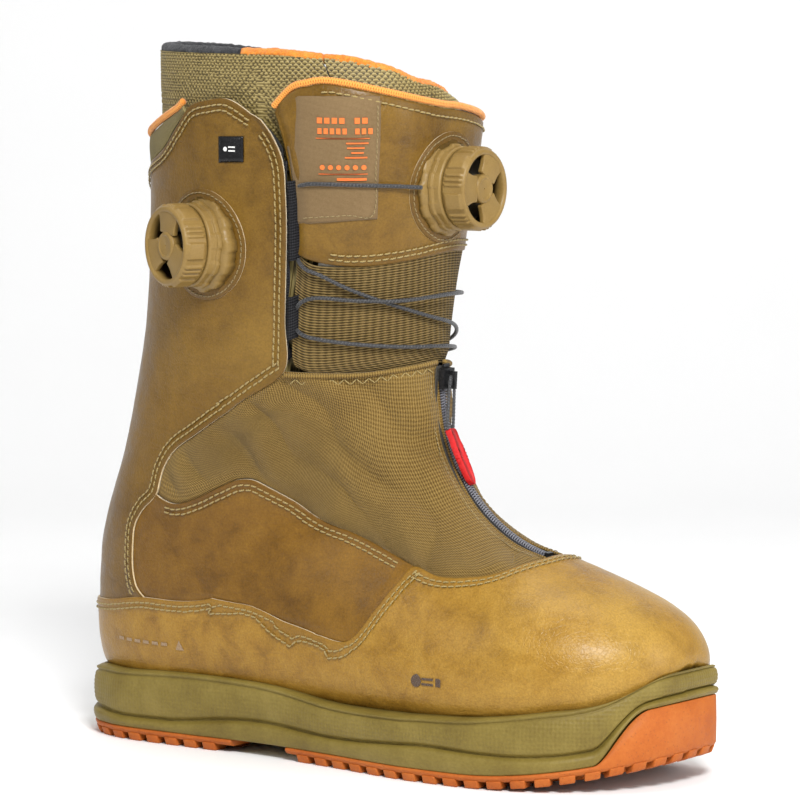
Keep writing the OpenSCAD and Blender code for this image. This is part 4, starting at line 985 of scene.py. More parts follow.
def skin_frame(v0, a0):
    """Origin, right, up and outward directions of the skin at a place, seen from outside."""
    p, n = skin0(v0, a0), skin_normal(v0, a0)
    up = unit(np.array([0, 0, 1.0]) - n[2] * n)
    return p, np.cross(up, n), up, n


def on_skin(v0, a0, x, y):
    """Places on the skin at x millimetres to the right of and y above a place, as seen from outside."""
    p0, right, up, _ = skin_frame(v0, a0)
    x, y = np.broadcast_arrays(np.asarray(x, float), np.asarray(y, float))
    v, a = np.full(x.shape, float(v0)), np.full(x.shape, float(a0))
    for _ in range(7):
        p = skin0(v, a) - p0
        dv = (skin0(v + 0.01, a) - skin0(v - 0.01, a)) / 0.02
        da = skin0(v, a + 0.5) - skin0(v, a - 0.5)
        m = np.stack([np.stack([dv @ right, da @ right], -1), np.stack([dv @ up, da @ up], -1)], -2)
        gap = np.stack([x - p @ right, y - p @ up], -1)
        step = np.linalg.solve(m, gap[..., None])[..., 0]
        v, a = v + np.clip(step[..., 0], -0.6, 0.6), a + np.clip(step[..., 1], -20, 20)
    return v, a


def marks(name, v0, a0, shapes, height, body, material, thick=0.3, slot=None):
    """Flat shapes laid on the skin, each an outline in millimetres about one place."""
    points, faces = [], []
    for shape in shapes:
        ring = np.asarray(shape, float)
        fine = np.concatenate([ring + (np.roll(ring, -1, 0) - ring) * k / 4
                               for k in range(4)]).reshape(4, -1, 2).transpose(1, 0, 2).reshape(-1, 2)
        v, a = on_skin(v0, a0, fine[:, 0], fine[:, 1])
        n = len(fine)
        first = sum(len(p) for p in points)
        points += [skin(v, a, height), skin(v, a, height - thick)]
        faces.append([list(range(first, first + n)), list(range(first + 2 * n - 1, first + n - 1, -1))])
        faces.append([[first + k, first + n + k, first + n + (k + 1) % n, first + (k + 1) % n]
                      for k in range(n)])
    piece = build(name, np.concatenate(points), faces, body, material, slot=slot, smooth=False)
    check_turn(piece)
    return piece


def disc(x, y, r, n=14):
    return [(x + r * math.cos(2 * math.pi * k / n), y + r * math.sin(2 * math.pi * k / n))
            for k in range(n)]


def bar(x, y, w, h):
    return [(x - w / 2, y - h / 2), (x + w / 2, y - h / 2), (x + w / 2, y + h / 2), (x - w / 2, y + h / 2)]


def front_edge(v):
    line = np.array(SHAFT_DIAG + SHAFT_FRONT[1:])
    return np.interp(v, line[:, 0], line[:, 1])


def strip(name, v, a, h, thick, body, materials, wrap=False, **more):
    """Closed sheet on a grid of places, h high on its outside and thick deep."""
    return shell(name, skin(v, a, h), skin(v, a, h - thick), body, materials, wrap,
                 facts={"edge_mm": np.full(v.shape, 20.0), "pull_highlight_share": np.zeros(v.shape)}, **more)


def mesh_grid(vs, angles):
    v, a = np.meshgrid(np.asarray(vs, float), np.asarray(angles, float), indexing="ij")
    return v, a


# ---------------------------------------------------------------- laces and the zip pull's cord


lace = lace_path(UPPER_ROUTE, 900)
upper = tube("upper_lace_cord", lace, 0.9, None, "lace", 12, 0.45, 0.09, 2.2, 3,
             slot="lace", hides=("upper_lace",))
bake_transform(upper)
inner_lace = lace_path(HARNESS_ROUTE, 60)
harness_cord = tube("harness_cord", inner_lace, 0.45, "boot", "lace", 8, None, 0.08, 1.4, 2, slot="lace",
                    hides=("harness_lace",))

ZIP_R, ZIP_CLOSED, ZIP_TOP, ZIP_LOW = 70.2, 176.2, 170.8, 257.6
ZIP_CENTRE = np.array([95.0, 0, 160.0])


def turn_y(degrees):
    c, s = math.cos(math.radians(degrees)), math.sin(math.radians(degrees))
    return np.array([[c, 0, s], [0, 1, 0], [-s, 0, c]])


def on_arc(angle, p):
    """Place standing on the zip's arc: +X towards its centre, +Z up along it."""
    return ZIP_CENTRE + (np.asarray(p, float) + [-ZIP_R, 0, 0]) @ turn_y(180 - angle).T


# ---------------------------------------------------------------- sole: midsole and the two treads

make_midsole()
make_tread("outsole_front", 160, -27, "outsole_forefoot")
make_tread("outsole_rear", -57, -170, "outsole_heel")

# ---------------------------------------------------------------- leather, canvas and webbing panels


def creases(seed, size, deep, lean=0.0):
    """Soft rolling folds, stretched along the boot's height or leaning across it."""
    def relief(p):
        q = p.copy()
        q[..., 2] = p[..., 2] * 0.45 + lean * p[..., 0]
        return deep * ground(q, size, seed) + deep * 0.35 * ground(p, size / 3, seed + 5)
    return relief


def pull_and_highlight(seed, amount, centre=None, reach=60):
    """Share of lighter tan over a shape: pull-up leather stretched there, partly painted highlight."""
    def pull_highlight_share(p):
        g = 0.35 + 0.9 * ground(p, 34, seed)
        if centre is not None:
            g = g * np.exp(-(np.linalg.norm(p - np.array(centre), axis=-1) / reach) ** 2)
        return amount * np.clip(g, 0, 1)
    return pull_highlight_share


LEATHER = ("shaft", "raw", "flesh")
rand_low = dense([[9.2, 180], [9.2, 167], [9.17, 156], [9.08, 144], [8.92, 134], [8.55, 124.5],
                  [8.05, 126.5], [7.35, 131],
                  [6.5, 125.5], [6.05, 120.5], [5.45, 116.5], [4.75, 111.5], [3.9, 107.5], [3.1, 107.5],
                  [2.3, 104],
                  [1.3, 88], [0.6, 70], [0.3, 0]], 160)
rand_top = dense(RAND_TOP_HEEL + RAND_TOP_SIDE[1:] + TOE_CAP_TOP[1:], 160)
side_row = RAND_TOP_HEEL + RAND_TOP_SIDE[1:]


def make_rand():
    """Rand and toe cap in one piece, its two halves joined at the toe."""
    right = np.array([[0.3, 0], [1, 0], [3, 0], [5.2, 0]], float)
    ns, nt = int(430 / SIZE), int(52 / SIZE)
    s = np.linspace(0, 1, ns)
    t = np.concatenate([np.linspace(0, 1, nt)[:-1], [0.99, 1]])
    g = coons(rand_low, rand_top, [rand_low[0], rand_top[0]], right, s, t)
    base = skin0(g[..., 0], g[..., 1])
    d = lengths(base, 1)
    from_top = d[:, -1:] - d
    h = 0.22 + 0.72 * ease(1 - from_top / 8) - 0.35 * ease(1 - d / 4)
    h = h + creases(3, 17, 0.22)(base) * ease(from_top / 6) * ease(d / 4)
    h = h - 0.3 * np.clip(1 - from_top / 0.5, 0, 1)
    # Lighter tan patch over the toe cap: stretched pull-up leather, partly painted highlight.
    pull_highlight_share = pull_and_highlight(2.0, 0.55, (118, -10, 48), 55)(base)
    v, a = g[..., 0], g[..., 1].copy()
    a[0] -= 0.4

    def mirror(x, sign=1):
        return np.concatenate([x, sign * x[-2::-1]])
    v, h, a = mirror(v), mirror(h), mirror(a, -1)
    facts = {"edge_mm": mirror(from_top), "pull_highlight_share": mirror(pull_highlight_share)}
    outer, inner = skin(v, a, h), skin(v, a, h - SKIN_T)
    tuck = np.clip((outer[:, 0, 0] - 60) / 60, 0, 1)[:, None] * [-3.0, 0, 0] + [0, 0, -4.5]
    outer = np.concatenate([outer[:, :1] + tuck[:, None], outer], 1)
    inner = np.concatenate([inner[:, :1] + tuck[:, None], inner], 1)
    facts = {key: np.concatenate([value[:, :1], value], 1) for key, value in facts.items()}
    shell("rand_and_toe_cap", outer, inner, "boot", ("rand", "raw", "flesh"), facts=facts,
          slot="toe_leather", hides=("toe_rand",))
    for side, label in ((1, "lateral"), (-1, "medial")):
        rows = []
        for gap in (2.4, 4.6):
            rows.append(np.concatenate([shifted(dense(side_row, 150), -gap),
                                        shifted(dense(TOE_CAP_TOP, 70), -gap)[2:]]))
        lay_stitches("rand_stitches_" + label, rows, "boot", "thread", height=0.80, side=side,
                     slot="toe_leather")


def make_side(side, label):
    # Lighter tan patch towards the front of the quarter: stretched pull-up leather, partly painted highlight.
    panel("quarter_" + label + "_leather", dense(RAND_TOP_SIDE), dense(QUARTER_TOP), QUARTER_BACK,
          [[7.2, 49.3], [7.2, 49.3]],
          "boot", ("quarter", "raw", "flesh"), SIZE, (-0.25, 0.85, -0.15, 0), 0.2, 8, (0, 1, 0, 0),
          side=side,
          relief=creases(7, 21, 0.3), pull_highlight_share=pull_and_highlight(4.0, 0.85, (30, -45, 72), 60), slot="quarter_leather",
          hides=("quarter_" + label,))
    lay_stitches("quarter_stitches_" + label,
                 [shifted(dense(QUARTER_TOP, 130), -d)[6:-7] for d in (2.4, 4.6)],
                 "boot", "thread", height=0.75, side=side, slot="quarter_leather")
    left = np.array(QUARTER_BACK + SHAFT_DIAG[1:] + SHAFT_FRONT[1:])
    right = np.array([[9.75, 179.4], [10.6, 179.4], [11.8, 179.4], [13.12, 179.4]])
    low = np.array([[9.38, 110], [9.6, 137], [9.7, 158], [9.75, 179.4]])
    # Lighter tan patch on the shaft: stretched pull-up leather, partly painted highlight.
    panel("shaft_" + label + "_leather", dense(low), dense(SHAFT_TOP), dense(left, 160), dense(right),
          "boot", LEATHER, SIZE,
          (-0.2, 0.45, 1.0, 0.0), 0.12, 8, (0, 1, 1, 0), side=side, relief=creases(11, 24, 0.42, 0.25),
          pull_highlight_share=pull_and_highlight(9.0, 0.5, (-20, -50, 170), 90), slot="shaft_leather", hides=("shaft_" + label,))
    edge = dense(QUARTER_BACK + SHAFT_DIAG[1:], 120)
    front = dense(SHAFT_FRONT, 110)
    rows = [shifted(edge, d)[4:] for d in (2.5, 4.7)] + [shifted(front, d)[2:-4] for d in (2.5, 4.7)]
    rows += [shifted(dense(SHAFT_TOP, 140), d)[6:-8] for d in (2.7, 4.9)]
    lay_stitches("shaft_stitches_" + label, rows, "boot", "thread", height=0.75, side=side,
                 slot="shaft_leather")


def make_gaiter(side, label):
    low = dense([[5.25, 6]] + TOE_CAP_TOP[:-2][::-1] + QUARTER_TOP[:-1][::-1], 140)
    front = np.array([[5.25, 7.2], [6.5, 6.6], [8.0, 5.6], [9.5, 4.6], [10.83, 4.2]])
    low[0] = front[0]
    top = np.array(GAITER_TOP)
    top[0] = front[-1]

    def folds(p):
        u = (p[..., 2] * 0.80 + p[..., 0] * 0.60)
        w = (p[..., 0] * 0.80 - p[..., 2] * 0.60)
        warp = ground(p, 30, 21 if side > 0 else 27)
        flow = np.abs(np.sin(u / 6.2 + 1.9 * warp + 0.02 * w)) ** 0.8 * 2 - 1
        share = 0.45 + 0.55 * np.clip(ground(p, 26, 31) + 0.3, 0, 1)
        grid = 0.05 * np.cos(2 * math.pi * w / 2.2)
        return np.clip(2.0 * flow * share + 1.1 * ground(p, 15, 35) + grid - 0.2, -1.2, 2.6)
    piece = panel("gaiter_" + label + "_canvas", low, dense(top, 80), front, dense(SHAFT_DIAG, 80), "boot",
                  ("gaiter", "gaiter", "lining"),
                  SIZE * 0.8, (-0.6, 0.15, 0.25, -0.3), -0.1, 7, (1, 1, 1, 0), thick=0.9, side=side,
                  relief=folds,
                  slot="gaiter_fabric", hides=("gaiter_" + label,))
    q = dense(top, 90)
    hem = skin(q[:, 0] - 0.02, q[:, 1] * side, 0.30)
    tube("gaiter_hem_" + label, hem, 1.15, "boot", "gaiter", 12, 0.8, 0.05, 1.6, 2, outward=from_shaft,
         slot="gaiter_fabric", rough=0.12)
    # The two borders beside the zip, folded back on themselves.
    b = dense(front, 90)
    edge = skin(b[:, 0], b[:, 1] * side, 0.05)
    tube("gaiter_border_" + label, edge, 0.62, "boot", "gaiter", 10, 0.8, 0.05, 1.6, 2,
         slot="gaiter_fabric", rough=0.08)
    lay_stitches("gaiter_border_stitches_" + label, [shifted(b, 3.6)[3:-4]], "boot", "thread_dark", 2.2,
                 1.7, 0.24, 0.45, side, "gaiter_fabric")
    lay_stitches("gaiter_hem_stitches_" + label, [shifted(q, 3.2)[4:-3]], "boot", "thread", 2.6, 2.4, 0.26,
                 0.5, side, "gaiter_fabric", zigzag=1.1)
    return piece


make_rand()
for turn, label in ((1, "lateral"), (-1, "medial")):
    make_side(turn, label)
    make_gaiter(turn, label)
v, a = mesh_grid(np.linspace(9.8, 13.05, int(120 / SIZE)), np.linspace(172, 188, int(16 / SIZE) + 3))
far = np.minimum(np.abs(a - 172), np.abs(a - 188)) * 0.9
h = 1.35 - 0.3 * ease(1 - far / 1.0) + 0.25 * ground(skin0(v, a), 14, 2)
shell("backstay_leather", skin(v, a, h), skin(v, a, np.full(v.shape, 0.35)), "boot", LEATHER,
      facts={"edge_mm": far, "pull_highlight_share": np.zeros(v.shape)}, slot="shaft_leather", hides=("backstay",))
lay_stitches("backstay_stitches", [[[9.9, e], [11, e], [12, e], [12.98, e]] for e in (173.8, 186.2)],
             "boot", "thread", height=1.5, slot="shaft_leather")

# Rear collar: cloth above the shaft, piped along the top.
low = dense(COLLAR_LOW, 60)
top = dense(COLLAR_TOP, 60)
g = coons(low, top, [low[0], top[0]], [low[-1], top[-1]], np.linspace(0, 1, int(110 / SIZE)),
          np.linspace(0, 1, int(14 / SIZE) + 3))
g = np.concatenate([g, (g * [1, -1] + [0, 360])[-2::-1]])
h = -0.15 + 0.5 * np.sin(np.linspace(0, 1, g.shape[1])
                         * math.pi)[None] + 0.25 * ground(skin0(g[..., 0], g[..., 1]), 9, 4)
collar = strip("collar_cloth_panel", g[..., 0], g[..., 1], h, 1.1, "boot", ("collar", "collar", "lining"),
               slot="collar_fabric", hides=("collar_panel",))


def piping(name, line, body, node, rise):
    q = dense(line, 160)
    path = skin(q[:, 0] + rise, q[:, 1], -0.6 - 1.2 * ease((q[:, 1] - 72) / 10) * (body == "tongue"))
    tube(name, path, 1.55, body, "piping", 16, 0.4, 0.035, 1.3, 4, outward=from_shaft,
         slot="piping", rough=0.05, hides=(node,))


collar_line = np.concatenate([COLLAR_TOP, [[v, 360 - a] for v, a in COLLAR_TOP[-2::-1]]])
piping("collar_piping_cord", collar_line, "boot", "collar_piping", 0.06)
TONGUE_RIM = [[13.9, 85], [14.08, 80.5], [14.2, 76]] + TONGUE_TOP
piping("tongue_piping_cord", TONGUE_RIM, "tongue", "tongue_piping", 0.07)

# Webbing facings behind the shaft's front edges, with a loop of webbing at each turn of the lace.
for side, label in ((1, "lateral"), (-1, "medial")):
    vs = np.linspace(11.2, 13.36, 50)
    t = np.linspace(0, 1, 9)
    e = front_edge(vs)[:, None]
    scallop = 0.9 * np.cos((vs - 11.55) / 0.62 * 2 * math.pi)[:, None]
    a = e + 2.0 - t[None] * (2.8 + 0.5 * scallop)
    v = vs[:, None] + 0 * a
    h = -1.45 + 0.9 * ease(t * 2.4)[None] + 0 * a
    strip("facing_" + label + "_webbing", v, a * side, h, 0.9, "boot", "webbing", slot="webbing",
          hides=("facing_" + label,))
GUIDES = [("lateral_top", 1, 12.38, 13.16), ("lateral_low", 1, 11.55, 12.02),
          ("medial_low", -1, 11.22, 11.98), ("medial_top", -1, 12.4, 13.12)]
for label, side, v0, v1 in GUIDES:
    vs = np.linspace(v0, v1, 30)
    t = np.linspace(0, 1, 17)
    e = front_edge(vs)[:, None]
    a = e - 0.4 - t[None] * 4.4
    h = -0.75 + 2.3 * np.sin(np.clip(t * 1.15, 0, 1) * math.pi)[None] ** 0.8 - 0.9 * t[None] + 0 * a
    strip("lace_guide_" + label, vs[:, None] + 0 * a, a * side, h, 0.7, "boot", "webbing", slot="webbing")

# ---------------------------------------------------------------- tongue

seam = [[12.42, 71.5]] + TONGUE_SEAM[1:-1] + [[12.42, -71]]
# Lighter tan patch on the upper tongue: stretched pull-up leather, partly painted highlight.
panel("tongue_leather_panel", dense(seam), dense(TONGUE_RIM),
      [[12.42, 71.5], [13.0, 76], [13.5, 81], [13.9, 85]], [[12.42, -71], [13.2, -73], [13.8, -71]],
      "tongue", LEATHER, SIZE, (0.5, 0.1, -2.0, -2.0), 0.1, 6, (1, 1, 0, 0),
      relief=creases(41, 20, 0.5, 0.1),
      pull_highlight_share=pull_and_highlight(15.0, 0.6, (28, -15, 270), 60), slot="shaft_leather", hides=("tongue_leather",))
lay_stitches("tongue_stitches", [shifted(dense(TONGUE_SEAM, 120), s)[6:-6] for s in (2.4, 4.6)] +
             [shifted(dense(TONGUE_TOP, 120), -3.4)[6:-6]], "tongue", "thread", height=0.6,
             slot="shaft_leather")


elastic = panel("tongue_elastic_cloth", np.array(TONGUE_FOOT) - [0.10, 0], dense(TONGUE_SEAM),
                [[11.12, 59], [11.3, 68], [12.42, 71.5]], [[11.12, -59], [11.3, -68], [12.42, -71]],
      "tongue", ("elastic", "elastic", "lining"), SIZE * 0.75, (-2.0, -0.4, -2.4, -2.4), -0.5, 8,
                (0, 0, 0, 0), thick=0.9, relief=None,
      slot="elastic", hides=("tongue_elastic",))

# ---------------------------------------------------------------- liner and linings


SCALE_H = 0.75


def scales(p):
    """Rows of small overlapping scales."""
    turn = np.unwrap(np.arctan2(p[..., 1], p[..., 0] + 48), axis=1) * 56
    row = p[..., 2] / 1.25
    k = np.floor(row)
    x = (turn / 2.5 + 0.5 * (k % 2)) % 1 - 0.5
    y = row - k
    arch = np.clip(1 - (x * 2.1) ** 2, 0, 1) ** 0.5
    return SCALE_H * np.clip(np.where(arch > y, 1.0 - 0.75 * (arch - y) / np.maximum(arch, 0.2), 0.1), 0, 1)


def liner_top(a):
    """How far up the liner reaches at each angle: lower in front."""
    turn = (np.asarray(a, float) + 180) % 360 - 180
    return 14.95 - 0.62 * ease((58 - turn) / 72) * ease((turn + 135) / 60)


def lean_in(v, a):
    """How far the top of the liner stands back from the boot, most in front and on the inner side."""
    turn = (np.asarray(a, float) + 180) % 360 - 180
    share = ease((28 - turn) / 55) * ease((turn + 165) / 60)
    return -11.0 * share * ease((np.asarray(v, float) - 13.45) / 1.35)


def liner_sheet(name, v_rows, angles, body, node, mesh_from):
    v, a = mesh_grid(v_rows, angles)
    share = np.clip((v - 13.4) / 1.55, 0, None)
    v = np.where(v > 13.4, 13.4 + share * (liner_top(a) - 13.4), v)
    beside = ease((78 - np.abs((a + 180) % 360 - 180)) / 14) * ease((12.4 - v) / 0.8)
    base = -6.3 + lean_in(v, a) - 2.6 * beside * (body == "boot")
    place_of = skin(v, a, base)
    cells = scales(place_of)
    h = base + cells * ease((v - mesh_from) / 0.05) + 0.25 * ground(place_of, 18, 6)
    return shell(name, skin(v, a, h), skin(v, a, base - 3.6), body,
                 ("scale", "fleece_black", "liner_inside"),
                 facts={"raised": cells / SCALE_H}, slot="liner_mesh", hides=(node,))


fine = 0.015
step = 0.42
liner_cuff = liner_sheet("liner_cuff_mesh",
                         np.concatenate([np.linspace(10.97, 13.2, 16), np.arange(13.25, 14.95, fine)]),
                         np.arange(59.4, 300.61, step), "boot", "liner_cuff", 13.3)
liner_tongue = liner_sheet("liner_tongue_mesh",
                           np.concatenate([np.linspace(11.02, 13.2, 16), np.arange(13.25, 14.95, fine)]),
                           np.arange(-58.8, 58.81, step), "tongue", "liner_tongue", 13.5)
half = np.array([8, 26, 46, 66, 86, 104, 120, 134, 146, 158, 172])
angles = np.concatenate([half, 360 - half[::-1]])
angles = np.interp(np.linspace(0, len(angles) - 1, 88), np.arange(len(angles)), angles)
v, a = mesh_grid(np.concatenate([np.linspace(1.8, 9.1, 44), np.linspace(9.2, 10.92, 16)]), angles)
liner_foot = strip("liner_foot_boot", v, a, -6.3 + 0.25 * ground(skin0(v, a), 16, 9), 3.6, "boot",
                   ("scale", "fleece_black", "liner_inside"), True,
                   slot="liner_mesh", hides=("liner_foot",))
v, a = mesh_grid(np.linspace(3, 8.4, 60), np.linspace(154, 206, 24))
footbed = strip("footbed_pad", v, a, -11.4 + 0.5 * ground(skin0(v, a), 20, 12), 2.7, "boot",
                "fleece_black", slot="foam", hides=("footbed",))
v, a = mesh_grid(np.linspace(11.25, 13.9, 40), np.linspace(-62, 62, 50))
a = a * (1 - 0.12 * ease((12.3 - v) / 0.8))
tongue_foam = strip("tongue_foam_pad", v, a, -2.2 - 0.3 * ground(skin0(v, a), 15, 14), 2.9, "tongue",
                    "foam", slot="foam", hides=("tongue_foam",))


def rim_roll(name, a0, a1, body, material, node, slot_name):
    angles = np.linspace(a0, a1, int(abs(a1 - a0) * 1.2) + 8)
    top_v = liner_top(angles)
    path = skin(top_v, angles, -8.6 + lean_in(top_v, angles))
    path[:, 2] += 0.6 + 0.3 * ground(np.stack([angles, 0 * angles, 0 * angles], 1), 17, 3)
    return tube(name, path, 2.5, body, material, 28, 0.55, outward=from_shaft,
                rough=0.42, rough_size=1.7,
                slot=slot_name, hides=(node,),
                taper=lambda s: 0.86 + 0.14 * np.clip(np.sin(np.clip(s, 0.001, 0.999) * math.pi) * 9, 0,
                                                      1) ** 0.6)


rims = [rim_roll("liner_rim_front_fleece", -58.9, 58.9, "tongue", "fleece", "liner_rim_front",
                 "liner_orange"),
        rim_roll("liner_rim_lateral_fleece", 59.2, 95.2, "boot", "fleece", "liner_rim_lateral",
                 "liner_orange"),
        rim_roll("liner_rim_medial_fleece", -59.2, -95.2, "boot", "fleece", "liner_rim_medial",
                 "liner_orange"),
        rim_roll("liner_rim_back_fleece", 96, 264, "boot", "fleece_black", "liner_rim_back", "liner_black")]

v, a = mesh_grid(np.concatenate([np.linspace(1.1, 9.12, 50), np.linspace(9.2, 10.93, 14)]),
                 np.arange(72) * 5.0 + 2)
strip("foot_lining_cloth", v, a, np.full(v.shape, -2.8), 1.5, "boot", "lining", True, slot="lining_black",
      hides=("foot_lining",))
vs = np.linspace(0, 1, 44)
turns = np.linspace(0, 1, 90)
e = front_edge(10.95 + 2.4 * vs)[:, None] + 2
a = e + (360 - 2 * e) * turns[None]
top_v = np.interp(180 - np.abs(a - 180), [78, 88, 97, 108, 122, 138, 160, 180],
                  [13.3, 13.72, 13.98, 13.95, 13.78, 13.62, 13.5, 13.45])
strip("shaft_lining_cloth", 10.98 + vs[:, None] * (top_v - 10.98), a, np.full(a.shape, -2.85), 1.5, "boot",
      "lining", slot="lining_black", hides=("shaft_lining",))
for side, label in ((1, "lateral"), (-1, "medial")):
    k, w = (x.astype(float) for x in mesh_grid(np.linspace(0, 1, 40), np.linspace(0, 1, 6)))
    strip("harness_" + label + "_webbing", 9.9 + 1.6 * k + 0.35 * (w - 0.5), side * (150 - 82 * k + 8 * w),
          np.full(k.shape, -4.85), 0.8,
          "boot", "webbing", slot="webbing", hides=("harness_" + label,))

# ---------------------------------------------------------------- dials

FRONT_AXIS = np.array([1.0, 0, 0])
SIDE_TURN = math.radians(21)
SIDE_AXIS = np.array([-math.sin(SIDE_TURN), -math.cos(SIDE_TURN), 0])


def turned(name, profile, count, body, material, frame_of, wobble=None, slot=None, hides=()):
    """Ring-shaped solid turned from a closed profile of [radius, height]; wobble(theta, r, z) moves points."""
    profile = np.asarray(profile, float)
    theta = np.arange(count) / count * 2 * math.pi
    r = np.repeat(profile[:, :1], count, 1)
    z = np.repeat(profile[:, 1:], count, 1)
    if wobble is not None:
        r, z = wobble(np.broadcast_to(theta, r.shape), r, z)
    p = np.stack([r * np.cos(theta), r * np.sin(theta), z], -1)
    m = len(profile)
    i, j = (x.ravel() for x in np.meshgrid(np.arange(m), np.arange(count), indexing="ij"))
    i1, j1 = (i + 1) % m, (j + 1) % count
    faces = np.stack([i * count + j, i1 * count + j, i1 * count + j1, i * count + j1], 1)
    piece = build(name, frame_of(p.reshape(-1, 3)), [faces], body, material, slot=slot, hides=hides)
    check_turn(piece)
    return piece


def rounded(points, radius):
    """A closed profile with its corners rounded, each by four points."""
    points = np.asarray(points, float)
    out = []
    n = len(points)
    for k in range(n):
        p, q, r = points[k - 1], points[k], points[(k + 1) % n]
        a, b = p - q, r - q
        la, lb = np.linalg.norm(a), np.linalg.norm(b)
        cut = min(radius, la * 0.45, lb * 0.45)
        s, e = q + a / la * cut, q + b / lb * cut
        for t in np.linspace(0, 1, 4):
            out.append((1 - t) ** 2 * s + 2 * t * (1 - t) * q + t * t * e)
    return np.array(out)


def prism(name, outline, z0, z1, body, material, frame_of, bevel=0.5, slot=None):
    ring = np.asarray(outline, float)
    n = len(ring)
    p = np.concatenate([np.c_[ring, np.full(n, z0)], np.c_[ring, np.full(n, z1)]])
    faces = [[list(range(n - 1, -1, -1)), list(range(n, 2 * n))],
             [[k, (k + 1) % n, n + (k + 1) % n, n + k] for k in range(n)]]
    piece = build(name, frame_of(p), faces, body, material, slot=slot)
    check_turn(piece)
    soft = piece.modifiers.new("round", "BEVEL")
    soft.width, soft.segments, soft.limit_method = bevel * MM, 3, "ANGLE"
    soft.angle_limit = math.radians(40)
    return piece


